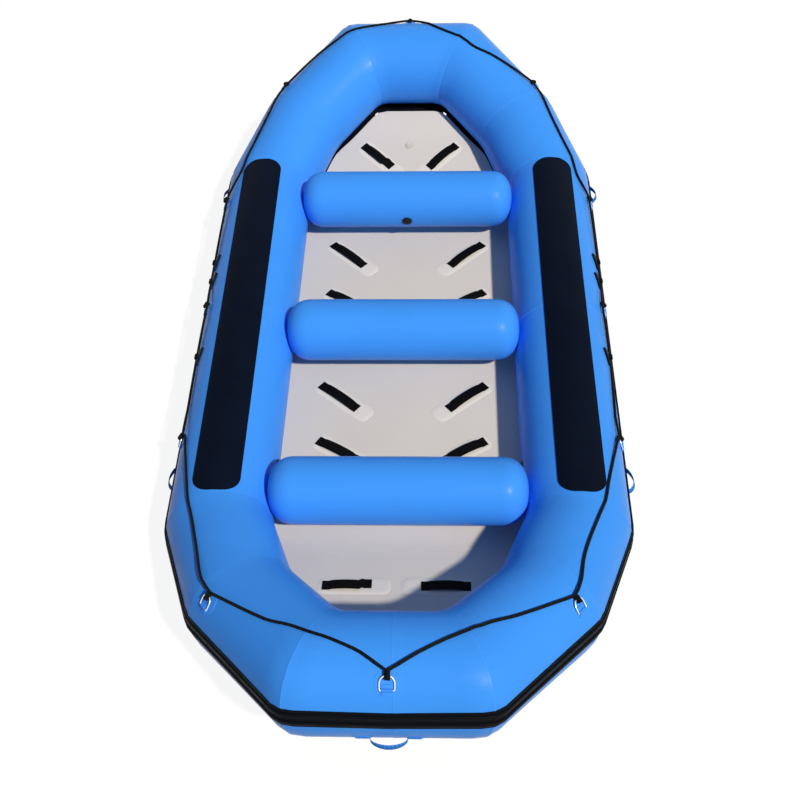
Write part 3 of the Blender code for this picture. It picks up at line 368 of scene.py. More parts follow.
def drawn_steel(colour):
    """Stainless wire, bent and polished: bright, and duller where it is handled."""
    made, tree, shader = new_material(
        "polished_stainless_wire", colour, roughness=0.22, Metallic=1.0,
    )
    place = add_node(tree, "ShaderNodeTexCoord")
    handled = add_node(
        tree, "ShaderNodeTexNoise", {"Scale": 160.0, "Detail": 4.0},
        {"Vector": place.outputs["Object"]},
    )
    gloss = add_node(
        tree, "ShaderNodeMapRange", {"To Min": 0.14, "To Max": 0.34},
        {"Value": handled.outputs["Fac"]},
    )
    tree.links.new(gloss.outputs["Result"], shader.inputs["Roughness"])
    return made


def moulded_nylon(name, colour):
    """Injection moulded nylon: satin, with a fine spark finish."""
    made, tree, shader = new_material(
        name, colour, roughness=0.45, IOR=1.53, Specular_IOR_Level=0.25,
    )
    place = add_node(tree, "ShaderNodeTexCoord")
    spark = add_node(
        tree, "ShaderNodeTexNoise", {"Scale": 900.0, "Detail": 3.0},
        {"Vector": place.outputs["Object"]},
    )
    skin = add_node(
        tree, "ShaderNodeBump", {"Strength": 0.2, "Distance": 0.0003},
        {"Height": spark.outputs["Fac"]},
    )
    tree.links.new(skin.outputs[0], shader.inputs["Normal"])
    return made


MATERIALS = {}


def finish(name):
    """The material of that name, made the first time that it is asked for."""
    if name not in MATERIALS:
        c = colours()
        MATERIALS[name] = {
            "tube": lambda: coated_fabric("blue_coated_fabric", c.tube, roughness=0.32),
            "floor": lambda: coated_fabric("grey_coated_fabric", c.floor, 0.55, gloss_level=0.10),
            "patch": lambda: coated_fabric("pale_coated_fabric", c.patch, 0.50, gloss_level=0.10),
            "wear": lambda: anti_slip_fabric(c.wear),
            "rubber": lambda: extruded_rubber(c.rubber),
            "rope": lambda: braided_rope(c.rope, sizes().rope_diameter),
            # lift: how much lighter the raised threads of the webbing are painted, a painted
            # highlight
            "webbing": lambda: woven_webbing("black_polyester_webbing", c.webbing, lift=1.5),
            "handle": lambda: woven_webbing("blue_polyester_webbing", c.handle, lift=1.2),
            "steel": lambda: drawn_steel(c.steel),
            "plastic": lambda: moulded_nylon("black_moulded_nylon", c.plastic),
            "pale_plastic": lambda: moulded_nylon("pale_moulded_nylon", c.pale_plastic),
        }[name]()
    return MATERIALS[name]


# The tube ring


def matrix_of(x_axis, y_axis, z_axis, origin):
    """A matrix with these axes and this origin."""
    made = Matrix((x_axis, y_axis, z_axis)).transposed().to_4x4()
    made.translation = origin
    return made


def bend_points(before, corner, after):
    """The centreline round one corner, with the sections parallel to its mitre."""
    first, second = (corner - before).normalized(), (after - corner).normalized()
    along = (first + second).normalized()
    longer = (second - first).normalized()
    share = 1 / math.cos(first.angle(second) / 2) - 1
    outward = along.cross(UP).normalized()
    upward = outward.cross(along).normalized()
    out_way = outward + longer * share * outward.dot(longer)
    up_way = upward + longer * share * upward.dot(longer)
    points = []
    for i in range(BEND_STEPS + 1):
        step = i / BEND_STEPS
        start = corner - first * BEND_REACH * (1 - step)
        end = corner + second * BEND_REACH * step
        points.append((start.lerp(end, step), out_way, up_way))
    return points


def quarter_sections():
    """Sections of the ring from the middle of the right side to the bow."""
    corners = [
        Vector((SIDE_X, 0, TUBE_RADIUS)),
        Vector((SIDE_X, SIDE_Y, TUBE_RADIUS)),
        Vector((MIDDLE_X, MIDDLE_Y, TUBE_RADIUS + MIDDLE_RISE)),
        Vector((CROSS_X, END_Y, TUBE_RADIUS + END_RISE)),
        Vector((0, END_Y, TUBE_RADIUS + END_RISE)),
    ]
    sections = [(corners[0], ACROSS, UP)]
    tops = []
    for before, corner, after in zip(corners, corners[1:], corners[2:]):
        tops.append(len(sections) + BEND_STEPS // 2)
        sections += bend_points(before, corner, after)
    sections.append((corners[-1], Vector((0, 1, 0)), UP))
    return sections, tops


SECTIONS, TOPS = quarter_sections()
DISTANCES = [0.0]
for here, there in zip(SECTIONS, SECTIONS[1:]):
    DISTANCES.append(DISTANCES[-1] + (there[0] - here[0]).length)
QUARTER = DISTANCES[-1]
WHOLE = 4 * QUARTER
SIDE_BEND, MIDDLE_BEND, CROSS_BEND = (DISTANCES[i] for i in TOPS)
SIDES = (("right", True), ("left", False))
ENDS = (("bow", True), ("stern", False))
SKIN_STEP = 0.012  # half the length over which the skin's direction is measured


def section(along):
    """Centre, outward way and upward way of the tube at a distance along the ring."""
    part, rest = divmod(along % WHOLE, QUARTER)
    part = int(part) % 4
    rest = rest if part in (0, 2) else QUARTER - rest
    number = 0
    while number < len(SECTIONS) - 2 and DISTANCES[number + 1] <= rest:
        number += 1
    share = (rest - DISTANCES[number]) / (DISTANCES[number + 1] - DISTANCES[number])
    flip = Vector((1 if part in (0, 3) else -1, 1 if part in (0, 1) else -1, 1))
    return [a.lerp(b, share) * flip for a, b in zip(SECTIONS[number], SECTIONS[number + 1])]


def ring_point(along, angle, height=0.0):
    """A point over the skin: distance along, angle up from the outer side, height."""
    centre, outward, upward = section(along)
    radius = TUBE_RADIUS + height
    return centre + radius * (math.cos(angle) * outward + math.sin(angle) * upward)


def ring_matrix(along):
    """From a flat section, X outward and Y up, to its place on the ring."""
    centre, outward, upward = section(along)
    return matrix_of(outward, upward, outward.cross(upward), centre)


def stations(first, last, longest):
    """Distances along the ring from first to last: those of its sections, and
    more between them where they are far apart."""
    nearest = 0.002
    marks = [first, last]
    for part in range(-4, 8):
        for distance in DISTANCES:
            at = part * QUARTER + (distance if part % 2 == 0 else QUARTER - distance)
            if first + nearest < at < last - nearest:
                marks.append(at)
    marks = sorted(set(round(m, 5) for m in marks))
    full = []
    for a, b in zip(marks, marks[1:]):
        count = max(1, math.ceil((b - a) / longest))
        full += [a + (b - a) * i / count for i in range(count)]
    return full + [marks[-1]]


def place_along(distance, right, bow):
    """The place along the ring of a distance into one of its four quarters."""
    if bow:
        return distance if right else 2 * QUARTER - distance
    return WHOLE - distance if right else 2 * QUARTER + distance


def side_place(share, right, angle):
    """The place along the ring of a share of the straight side, at an angle."""
    centre, outward, upward = SECTIONS[1]
    skin = centre + TUBE_RADIUS * (math.cos(angle) * outward + math.sin(angle) * upward)
    return place_along(abs(share) * SIDE_Y / skin.y * DISTANCES[1], right, share >= 0)


def skin_run(along, angle):
    """The way along the skin between two points close to this place."""
    return ring_point(along + SKIN_STEP, angle) - ring_point(along - SKIN_STEP, angle)


def seat(along, angle):
    """A frame on the skin: X along the tube, Y up round it and Z out of it."""
    x_axis = skin_run(along, angle).normalized()
    turn = SKIN_STEP / TUBE_RADIUS
    y_axis = ring_point(along, angle + turn) - ring_point(along, angle - turn)
    z_axis = x_axis.cross(y_axis).normalized()
    return matrix_of(x_axis, z_axis.cross(x_axis), z_axis, ring_point(along, angle))


def on_joint(name, place, axis_number):
    """A moving piece's frame, moved and tilted so that one of its axes is its joint's."""
    joint = next(j for j in frame["joints"] if j["child"] == name)
    axis, point = Vector(joint["axis"]).normalized(), Vector(joint["pos_m"])
    turn = place.to_3x3().col[axis_number].rotation_difference(axis)
    made = (turn.to_matrix() @ place.to_3x3()).to_4x4()
    made.translation = point + axis * (place.translation - point).dot(axis)
    return made


# Shaping with bmesh

MERGE = 1e-5
SMOOTH_ANGLE = math.radians(35)


def fresh_bmesh():
    """An empty bmesh whose vertices keep their distance along and round a piece, how much the
    fabric is gathered there, and how much painted highlight a seam's cut edge takes there."""
    bm = bmesh.new()
    for name in ("along", "around", "pucker", "seam_edge_highlight"):
        bm.verts.layers.float.new(name)
    return bm


def only_verts(geom):
    return [g for g in geom if isinstance(g, bmesh.types.BMVert)]


def draw_line(bm, points, closed=False):
    """The vertices and edges of a line through points, closed into a loop or open."""
    verts = [bm.verts.new(point) for point in points]
    after = verts[1:] + verts[:1] if closed else verts[1:]
    return verts, [bm.edges.new(pair) for pair in zip(verts, after)]


def sweep(bm, loop, frames, distances, closed=False, capped=True):
    """Draws a line or loop of edges through frames, one after another. It is made
    flat, in X and Y. Each vertex keeps its distance along."""
    along = bm.verts.layers.float["along"]
    first = edges = list(loop)
    verts = list({v for e in edges for v in e.verts})
    bmesh.ops.transform(bm, matrix=frames[0], verts=verts)
    for v in verts:
        v[along] = distances[0]
    for before, after, distance in zip(frames, frames[1:], distances[1:]):
        made = bmesh.ops.extrude_edge_only(bm, edges=edges)["geom"]
        verts = only_verts(made)
        fresh = set(verts)
        edges = [g for g in made if isinstance(g, bmesh.types.BMEdge) and set(g.verts) <= fresh]
        bmesh.ops.transform(bm, matrix=after @ before.inverted(), verts=verts)
        for v in verts:
            v[along] = distance
    if closed:
        bmesh.ops.bridge_loops(bm, edges=first + edges)
    elif capped:
        for end in (first, edges):
            bmesh.ops.contextual_create(bm, geom=end)


def round_loop(bm, radius, sides):
    """A circle of edges, each vertex with its distance round."""
    around = bm.verts.layers.float["around"]
    verts = bmesh.ops.create_circle(bm, radius=radius, segments=sides)["verts"]
    for v in verts:
        v[around] = math.atan2(v.co.y, v.co.x) * radius
    return list({e for v in verts for e in v.link_edges})


def arc(x, y, radius, first, last, steps):
    """Points on a circle from one angle to another, in quarter turns."""
    turns = [math.pi / 2 * (first + (last - first) * i / steps) for i in range(steps + 1)]
    return [(x + radius * math.cos(turn), y + radius * math.sin(turn)) for turn in turns]


def turned(profile, axis, steps):
    """A body of revolution round X or Z, from a line of places on X and Z."""
    bm = fresh_bmesh()
    verts, edges = draw_line(bm, [(x, 0, z) for x, z in profile])
    bmesh.ops.spin(
        bm, geom=verts + edges, cent=(0, 0, 0), axis=axis, angle=2 * math.pi, steps=steps,
        use_merge=True,
    )
    bmesh.ops.remove_doubles(bm, verts=bm.verts, dist=MERGE)
    return bm


def put(bm, place):
    """Moves a whole bmesh by a matrix, and returns it."""
    bmesh.ops.transform(bm, matrix=place, verts=bm.verts)
    return bm


def shift(bm, x=0.0, y=0.0, z=0.0):
    return put(bm, Matrix.Translation((x, y, z)))


def write_uv(bm, turn=0.0, length=0.0):
    """Writes each face's UV, in metres, from the distances along and round. Turn
    and length are the distances after which they start again."""
    uv = bm.loops.layers.uv.verify()
    along, around = bm.verts.layers.float["along"], bm.verts.layers.float["around"]
    for face in bm.faces:
        spots = [[loop.vert[along], loop.vert[around]] for loop in face.loops]
        for axis, whole in ((0, length), (1, turn)):
            values = [spot[axis] for spot in spots]
            if whole and max(values) - min(values) > whole / 2:
                middle = (max(values) + min(values)) / 2
                for spot in spots:
                    spot[axis] += whole if spot[axis] < middle else 0
        for loop, spot in zip(face.loops, spots):
            loop[uv].uv = spot


def flat_uv(bm):
    """Writes each face's UV, in metres, from X and Y as the piece lies flat."""
    uv = bm.loops.layers.uv.verify()
    for face in bm.faces:
        for loop in face.loops:
            loop[uv].uv = loop.vert.co.xy


def cut_across(bm, axis, places):
    """Cuts a flat piece at places on an axis, so that it can bend there."""
    normal = Vector([1.0 if i == axis else 0.0 for i in range(3)])
    for place in places:
        bmesh.ops.bisect_plane(
            bm, geom=bm.verts[:] + bm.edges[:] + bm.faces[:], dist=1e-6,
            plane_co=normal * place, plane_no=normal,
        )


def cut_evenly(bm, axis, low, high, parts):
    """Cuts a flat piece into equal parts from low to high on an axis."""
    cut_across(bm, axis, [low + (high - low) * i / parts for i in range(1, parts)])


def flat_pad(length, width, corner, thickness, edge, steps=8):
    """A flat pad with round corners and a softened upper edge, centred on zero."""
    bm = fresh_bmesh()
    bmesh.ops.create_grid(bm, x_segments=1, y_segments=1, size=0.5)
    bmesh.ops.scale(bm, vec=(length, width, 1), verts=bm.verts)
    bmesh.ops.bevel(
        bm, geom=bm.verts[:], offset=corner, segments=steps, profile=0.5, affect="VERTICES",
        material=-1,
    )
    upper = set(only_verts(bmesh.ops.extrude_face_region(bm, geom=bm.faces[:])["geom"]))
    bmesh.ops.translate(bm, verts=list(upper), vec=(0, 0, thickness))
    rim = [e for e in bm.edges if set(e.verts) <= upper and len(e.link_faces) == 2]
    bmesh.ops.bevel(
        bm, geom=rim, offset=edge, segments=2, profile=0.5, affect="EDGES", material=-1,
    )
    bmesh.ops.recalc_face_normals(bm, faces=bm.faces)
    return bm


def lay_on_skin(bm, along, angle):
    """Bends a flat piece onto the tube: X runs along, Y up round and Z out."""
    longer = skin_run(along, angle).length / (2 * SKIN_STEP)
    for v in bm.verts:
        v.co = ring_point(along + v.co.x / longer, angle + v.co.y / TUBE_RADIUS, v.co.z)
    return bm


def join_bmeshes(parts):
    """One bmesh with the faces of several."""
    whole = parts[0]
    for part in parts[1:]:
        mesh = bpy.data.meshes.new("part")
        part.to_mesh(mesh)
        part.free()
        whole.from_mesh(mesh)
        bpy.data.meshes.remove(mesh)
    return whole


def as_piece(name, bm, look, body="hull", nodes=()):
    """Makes a bmesh into a piece that rides on a body and stands for its nodes."""
    bmesh.ops.recalc_face_normals(bm, faces=bm.faces)
    mesh = bpy.data.meshes.new(name)
    bm.to_mesh(mesh)
    bm.free()
    mesh.shade_smooth()
    mesh.set_sharp_from_angle(angle=SMOOTH_ANGLE)
    made = bpy.data.objects.new(name, mesh)
    mesh.materials.append(finish(look))
    bpy.context.scene.collection.objects.link(made)
    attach(made, body)
    if nodes:
        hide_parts(*nodes)
    return made


# Tubes

CHAMBERS = {
    "chamber_bow_right": (0.0, CROSS_BEND),
    "chamber_bow_left": (CROSS_BEND, 2 * QUARTER),
    "chamber_stern_left": (2 * QUARTER, 2 * QUARTER + CROSS_BEND),
    "chamber_stern_right": (2 * QUARTER + CROSS_BEND, WHOLE),
}
CHAMBER_GAP = 0.00015  # from a chamber's end to the middle of its baffle
PULL_REACH = 0.16  # how far from a seam the fabric is still gathered
MITRES = [
    place_along(bend, right, bow)
    for bend in (SIDE_BEND, MIDDLE_BEND, CROSS_BEND) for _, right in SIDES for _, bow in ENDS
]


def pull(distance):
    """How much the fabric is gathered at a distance from a seam: 1 at it, 0 away from it."""
    return max(0.0, 1 - distance / PULL_REACH) ** 1.5


def gathered(along):
    """How much the fabric is gathered here by the nearest mitred seam."""
    return pull(min(abs((along - at + WHOLE / 2) % WHOLE - WHOLE / 2) for at in MITRES))


def crease(piece):
    """Makes the edges that run round a tube in a mitred seam sharp."""
    pulls = piece.data.attributes["pucker"].data
    for edge in piece.data.edges:
        if all(pulls[number].value > 0.999 for number in edge.vertices):
            edge.use_edge_sharp = True


class RAFT_OT_tubes(bpy.types.Operator):
    """The four air chambers of the tube ring"""

    bl_idname = "raft.tubes"
    bl_label = "Air chambers"

    def execute(self, context):
        for name, (first, last) in CHAMBERS.items():
            bm = fresh_bmesh()
            marks = stations(first + CHAMBER_GAP, last - CHAMBER_GAP, longest=0.04)
            loop = round_loop(bm, TUBE_RADIUS, sizes().tube_sides)
            sweep(bm, loop, [ring_matrix(at) for at in marks], marks)
            write_uv(bm, turn=2 * math.pi * TUBE_RADIUS)
            along, pucker = bm.verts.layers.float["along"], bm.verts.layers.float["pucker"]
            pulls = {at: gathered(at) for at in marks}
            for v in bm.verts:
                v[pucker] = min(pulls.items(), key=lambda item: abs(item[0] - v[along]))[1]
            chamber = as_piece(name + "_fabric", bm, "tube", nodes=(name,))
            crease(chamber)
        return {"FINISHED"}


# where a panel is welded over the next: share of the seam's width, share of its height, and how
# much painted highlight its cut edge takes there. The underside lies in the tube's wall.
SEAM_SKIN = (
    (0, 0.4, 1), (0.02, 1, 1), (0.10, 1, 0.8), (0.16, 0.9, 0), (0.6, 0.5, 0), (1, 0, 0),
    (1, -1, 0), (0, -1, 0),
)
SIDE_SEAMS = (QUARTER / 1000, 2 * QUARTER + QUARTER / 1000)  # by the middle of each side
STERN_SEAM = 3 * QUARTER + 0.012


def overlap_ring(at, reach):
    """One panel welded over the next: a band right round the tube whose cut edge
    stands up at the seam, and which runs out to nothing. Reach may be backwards."""
    bm = fresh_bmesh()
    seam_edge_highlight = bm.verts.layers.float["seam_edge_highlight"]
    sides = sizes().tube_sides
    frames, places = [], []
    for share, rise, _ in SEAM_SKIN:
        places.append(at + share * reach)
        wider = 1 + rise * sizes().seam_height / TUBE_RADIUS
        frames.append(ring_matrix(places[-1]) @ Matrix.Diagonal((wider, wider, 1, 1)))
    sweep(bm, round_loop(bm, TUBE_RADIUS, sides), frames, places, closed=True)
    write_uv(bm, turn=2 * math.pi * TUBE_RADIUS)
    # painted highlight: the seam's cut edge is made paler where it would catch the light
    for number, v in enumerate(bm.verts):
        v[seam_edge_highlight] = SEAM_SKIN[number // sides][2]
    return bm


class RAFT_OT_seams(bpy.types.Operator):
    """The welded overlaps at the mitred seams, amidships and at the stern"""

    bl_idname = "raft.seams"
    bl_label = "Seams"

    def execute(self, context):
        reach = sizes().seam_width
        places = [
            (at, reach if int(at // QUARTER) in (0, 2) else -reach) for at in (*MITRES, *SIDE_SEAMS)
        ]
        places.append((STERN_SEAM, reach))
        for number, (at, way) in enumerate(sorted(places)):
            as_piece(f"seam_{number + 1}", overlap_ring(at, way), "tube")
        return {"FINISHED"}


# Thwarts

THWART_RADIUS = 0.147
THWART_Z = 0.32
THWARTS = {"front": 0.8046 * SIDE_Y, "middle": -0.0459 * SIDE_Y, "rear": -0.8817 * SIDE_Y}
THWART_FACES = {"front": -1, "middle": 1, "rear": 1}  # the way that each one's valve looks
THWART_DOME = 0.122  # length of a rounded end
THWART_FULLNESS = 0.82  # an ellipse's is 1, and a fuller end's is less
THWART_PRESS = 0.006  # how far the ends are pressed against the side tubes
THWART_GAP = 0.0004  # left between an end and the side tube's skin


def thwart_reach():
    """Half a thwart's length, to where its round end is pressed against the tube's wall."""
    reaches = []
    for i in range(-31, 32):
        share = i / 32
        rise = THWART_Z + share * THWART_RADIUS - TUBE_RADIUS
        if abs(rise) < TUBE_RADIUS:
            wall = SIDE_X - math.sqrt(TUBE_RADIUS**2 - rise**2)
            reaches.append(wall + THWART_DOME * (1 - math.sqrt(1 - share**2)))
    return min(reaches) + THWART_PRESS


def thwart_profile(reach):
    """From one end of a thwart to the other: place across and radius."""
    half = [
        (reach - THWART_DOME * (1 - rise**THWART_FULLNESS), THWART_RADIUS * width**THWART_FULLNESS)
        for width, rise in arc(0, 0, 1, 0, 1, 14)
    ]
    straight = [(half[0][0] * (1 - 2 * i / 24), THWART_RADIUS) for i in range(1, 24)]
    return half[::-1] + straight + [(-x, radius) for x, radius in half]


def tube_side_x(y, z):
    """Where the side tube's inner skin is at a height, or None over or under it."""
    at = abs(y)
    for _ in range(4):
        at += abs(y) - section(at)[0].y
    centre = section(at)[0]
    rise = z - centre.z
    if abs(rise) >= TUBE_RADIUS:
        return None
    step = section(at + SKIN_STEP)[0] - section(at - SKIN_STEP)[0]
    slant = step.y / Vector((step.x, step.y)).length
    return centre.x - math.sqrt(TUBE_RADIUS**2 - rise**2) / slant


class RAFT_OT_thwarts(bpy.types.Operator):
    """The three cross tubes, their round ends pressed against the side tubes"""

    bl_idname = "raft.thwarts"
    bl_label = "Thwarts"

    def execute(self, context):
        reach = thwart_reach()
        for name, y in THWARTS.items():
            bm = turned(thwart_profile(reach), ACROSS, steps=80)
            along, around, pucker = (
                bm.verts.layers.float[layer] for layer in ("along", "around", "pucker")
            )
            for v in bm.verts:
                v[along] = v.co.x
                v[around] = math.atan2(v.co.z, v.co.y) * THWART_RADIUS
                v[pucker] = pull(reach - abs(v.co.x))
            write_uv(bm, turn=2 * math.pi * THWART_RADIUS)
            for v in shift(bm, y=y, z=THWART_Z).verts:
                wall = tube_side_x(v.co.y, v.co.z)
                if wall is not None and abs(v.co.x) > wall - THWART_GAP:
                    v.co.x = math.copysign(wall - THWART_GAP, v.co.x)
            thwart = as_piece(f"thwart_{name}_fabric", bm, "tube", nodes=(f"thwart_{name}",))
        return {"FINISHED"}


# Floor

FLOOR_THICKNESS = 0.12
FLOOR_EDGE = 0.012
FLOOR_GAP = 0.0003  # between the floor's edge and the tube
FLOOR_FLAT = 0.9  # the floor is flat at least this far from its middle
FLOOR_CUTS = 0.02  # least distance between the cuts where the floor bends up


def floor_rise(y):
    """The height of the floor's underside: it rises with the tube's centreline."""
    y = abs(y)
    for (low, _, _), (high, _, _) in zip(SECTIONS, SECTIONS[1:]):
        if low.y <= y < high.y:
            return low.lerp(high, (y - low.y) / (high.y - low.y)).z - TUBE_RADIUS
    return SECTIONS[-1][0].z - TUBE_RADIUS


def floor_inset():
    """From the tube's centreline to the floor's edge."""
    below = TUBE_RADIUS - (FLOOR_THICKNESS - FLOOR_EDGE)
    return math.sqrt((TUBE_RADIUS + FLOOR_EDGE + FLOOR_GAP) ** 2 - below**2) - FLOOR_EDGE


def floor_edge(along, inset):
    """The point that far inside the tube's centreline, at height 0, and the way out."""
    centre, outward, _ = section(along)
    flat = Vector((outward.x, outward.y, 0))
    return Vector((centre.x, centre.y, 0)) - flat * inset, flat


def floor_frame(along):
    """From a flat upright section, X outward and Y up, to the floor's edge."""
    point, flat = floor_edge(along, floor_inset())
    return matrix_of(flat, UP, flat.cross(UP), point)


def floor_profile():
    """The wall of the floor: fuller than a round edge, it stands nearly straight."""
    middle = FLOOR_THICKNESS / 2
    return [
        (FLOOR_EDGE * (out**0.5 - 1), middle + middle * math.copysign(abs(up) ** 0.42, up), 0)
        for out, up in arc(0, 0, 1, 1, -1, 12)
    ]


class RAFT_OT_floor(bpy.types.Operator):
    """The drop-stitch floor panel with its rounded, taped edge"""

    bl_idname = "raft.floor"
    bl_label = "Floor panel"

    def execute(self, context):
        bm = fresh_bmesh()
        marks = stations(0.0, WHOLE, longest=0.08)[:-1]
        frames = [floor_frame(at) for at in marks]
        wall = draw_line(bm, floor_profile())[1]
        sweep(bm, wall, frames + frames[:1], marks + [WHOLE], capped=False)
        bmesh.ops.remove_doubles(bm, verts=bm.verts, dist=MERGE)
        bmesh.ops.holes_fill(bm, edges=[e for e in bm.edges if len(e.link_faces) == 1], sides=0)
        bmesh.ops.recalc_face_normals(bm, faces=bm.faces)
        cuts = sorted({round(v.co.y, 4) for v in bm.verts if abs(v.co.y) > FLOOR_FLAT})
        spaced = [cuts[0]]
        for cut in cuts[1:]:
            if cut - spaced[-1] > FLOOR_CUTS:
                spaced.append(cut)
        cut_across(bm, 1, spaced)
        flat_uv(bm)
        for v in bm.verts:
            v.co.z += floor_rise(v.co.y)
        floor = as_piece("floor_fabric", bm, "floor", nodes=("floor_panel",))
        return {"FINISHED"}


def lay_on_floor(bm, x, y, turn):
    """Turns a flat piece, moves it to its place and bends it up with the floor."""
    put(bm, Matrix.Translation((x, y, 0)) @ Matrix.Rotation(turn, 4, "Z"))
    for v in bm.verts:
        v.co.z += floor_rise(v.co.y) + FLOOR_THICKNESS


# Foot straps

# outer end and inner end: shares of the floor's half width across, and of the
# straight side's length fore and aft
FOOT_STRAPS = {
    "bow": ((0.470, 1.336), (0.190, 1.198)),
    "front_a": ((0.712, 0.684), (0.400, 0.534)),
    "front_b": ((0.712, 0.360), (0.388, 0.250)),
    "rear_a": ((0.700, -0.203), (0.378, -0.337)),
    "rear_b": ((0.685, -0.504), (0.350, -0.606)),
    "stern": ((0.542, -1.219), (0.180, -1.219)),
}
STRAP_WIDTH = 0.050
STRAP_THICKNESS = 0.0035
STRAP_FOOT = 0.030
STRAP_RISE = 0.011
STRAP_HEIGHT = 0.0010  # of the webbing's underside over the floor
# two straps were sewn askew: from which share of the length, and how far to the side
SEWN_ASKEW = {"foot_strap_left_bow": 0.23, "foot_strap_left_stern": 0.25}
ASKEW_BY = 0.010
ASKEW_OVER = 0.05  # share of the length over which the strap moves aside
PATCH_WIDTH = 0.096
PATCH_CORNER = 0.034
PATCH_OUTER = 0.018  # how far a patch reaches past the strap's outer end
PATCH_INNER = 0.080  # and past its inner end
WEBBING_CORNER = 0.45  # radius of webbing's corners, as a share of its thickness


def strap_places():
    """Each foot strap's name, middle, length and direction on the floor."""
    half = SIDE_X - floor_inset()
    places = []
    for name, ends in FOOT_STRAPS.items():
        for side, sign in (("right", 1), ("left", -1)):
            start, end = (Vector((sign * x * half, y * SIDE_Y)) for x, y in ends)
            run = end - start
            turn = math.atan2(run.y, run.x)
            places.append((f"foot_strap_{side}_{name}", (start + end) / 2, run.length, turn))
    return places


def webbing_loop(bm, width, thickness):
    """The edges of webbing's section, with soft corners, in X (across) and Y."""
    around = bm.verts.layers.float["around"]
    corner = thickness * WEBBING_CORNER
    across, up = width / 2 - corner, thickness / 2 - corner
    points = []
    for start, (x, y) in enumerate(((across, up), (-across, up), (-across, -up), (across, -up))):
        points += arc(x, y + thickness / 2, corner, start, start + 1, 3)
    verts, edges = draw_line(bm, [(x, y, 0) for x, y in points], closed=True)
    for v in verts:
        v[around] = v.co.x
    return edges


def neighbours(line, i):
    """The places before and after one of a line, or itself at an end."""
    return line[max(i - 1, 0)], line[min(i + 1, len(line) - 1)]


def webbing_along(line, width, thickness, aside=None, twist=None):
    """Webbing that follows a line of places along and heights, as it lies flat.
    Aside gives how far each place lies to the side, and twist how far it is turned."""
    bm = fresh_bmesh()
    frames, distances, total = [], [], 0.0
    for i, (x, z) in enumerate(line):
        before, after = neighbours(line, i)
        run = Vector((after[0] - before[0], 0, after[1] - before[1])).normalized()
        over = Vector((-run.z, 0, run.x))
        origin = Vector((x, aside(x) if aside else 0.0, z))
        made = matrix_of(Vector((0, 1, 0)), over, run, origin)
        frames.append(made @ Matrix.Rotation(twist(x), 4, "Z") if twist else made)
        total += (Vector(line[i]) - Vector(line[max(i - 1, 0)])).length
        distances.append(total)
    sweep(bm, webbing_loop(bm, width, thickness), frames, distances)
    write_uv(bm)
    return bm


def arch_line(span, foot, rise, steps):
    """The line of a strap: two feet that lie flat and an arch between them."""
    line = [(-span / 2 - foot + foot * i / 4, 0.0) for i in range(4)]
    for i in range(steps + 1):
        share = i / steps
        line.append((span * (share - 1 / 2), rise * math.sqrt(abs(math.sin(math.pi * share)))))
    return line + [(span / 2 + foot * i / 4, 0.0) for i in range(1, 5)]


def sewn_askew(name, length):
    """How far a strap lies to the side at each place on it, or None for a straight one."""
    start = SEWN_ASKEW.get(name)
    if start is None:
        return None
    return lambda x: ASKEW_BY * min(max((x / length - start) / ASKEW_OVER, 0), 1)


class RAFT_OT_foot_straps(bpy.types.Operator):
    """The foot straps and the pale patches that they are welded to"""

    bl_idname = "raft.foot_straps"
    bl_label = "Foot straps"

    def execute(self, context):
        for name, middle, length, turn in strap_places():
            outer, inner = length / 2 + PATCH_OUTER, length / 2 + PATCH_INNER
            patch = flat_pad(
                outer + inner, PATCH_WIDTH, corner=PATCH_CORNER, thickness=0.0008, edge=0.0003,
            )
            shift(patch, x=(inner - outer) / 2)
            cut_evenly(patch, 0, -outer, inner, parts=12)
            cut_evenly(patch, 1, -PATCH_WIDTH / 2, PATCH_WIDTH / 2, parts=4)
            flat_uv(patch)
            lay_on_floor(patch, middle.x, middle.y, turn)
            as_piece(name.replace("strap", "patch"), patch, "patch")

            line = arch_line(length - 2 * STRAP_FOOT, STRAP_FOOT, STRAP_RISE, steps=28)
            strap = webbing_along(line, STRAP_WIDTH, STRAP_THICKNESS, sewn_askew(name, length))
            lay_on_floor(shift(strap, z=STRAP_HEIGHT), middle.x, middle.y, turn)
            as_piece(name + "_webbing", strap, "webbing", nodes=(name,))
        return {"FINISHED"}


# Strake and wear patches

STRAKE_HALF = 0.0385
STRAKE_UNDER = 0.0004  # height of its underside over the skin
STRAKE_BASE = 0.0038
STRAKE_EDGE = 0.0012  # cut off its corners
RIDGE_HEIGHT = 0.0090
RIDGE_PLACE = 0.0175  # from the strake's middle to the middle of a ridge
RIDGE_HALF = 0.0078
STRAKE_LOW, STRAKE_CLIMB = math.radians(3), math.radians(13)


def strake_angle(along):
    """The strake's middle climbs the tube from the sides to the ends."""
    along %= 2 * QUARTER
    along = min(along, 2 * QUARTER - along)
    share = min(max((along - SIDE_BEND) / (CROSS_BEND - SIDE_BEND), 0), 1)
    return STRAKE_LOW + STRAKE_CLIMB * share


def strake_profile():
    """Round the strake's section: distance round the tube and height over it."""
    half, base, edge = STRAKE_HALF, STRAKE_BASE, STRAKE_EDGE
    line = [(half, STRAKE_UNDER), (half, base - edge), (half - edge, base)]
    for middle in (RIDGE_PLACE, -RIDGE_PLACE):
        for i, (out, up) in enumerate(arc(0, 0, 1, 0, 2, 8)):
            line.append((
                middle + RIDGE_HALF * math.copysign(abs(out) ** 0.6, out),
                base + (RIDGE_HEIGHT - base) * up**0.7 if 0 < i < 8 else base,
            ))
    line += [(-half + edge, base), (-half, base - edge), (-half, STRAKE_UNDER)]
    return line + [(-half + 2 * half * i / 6, STRAKE_UNDER) for i in range(1, 6)]


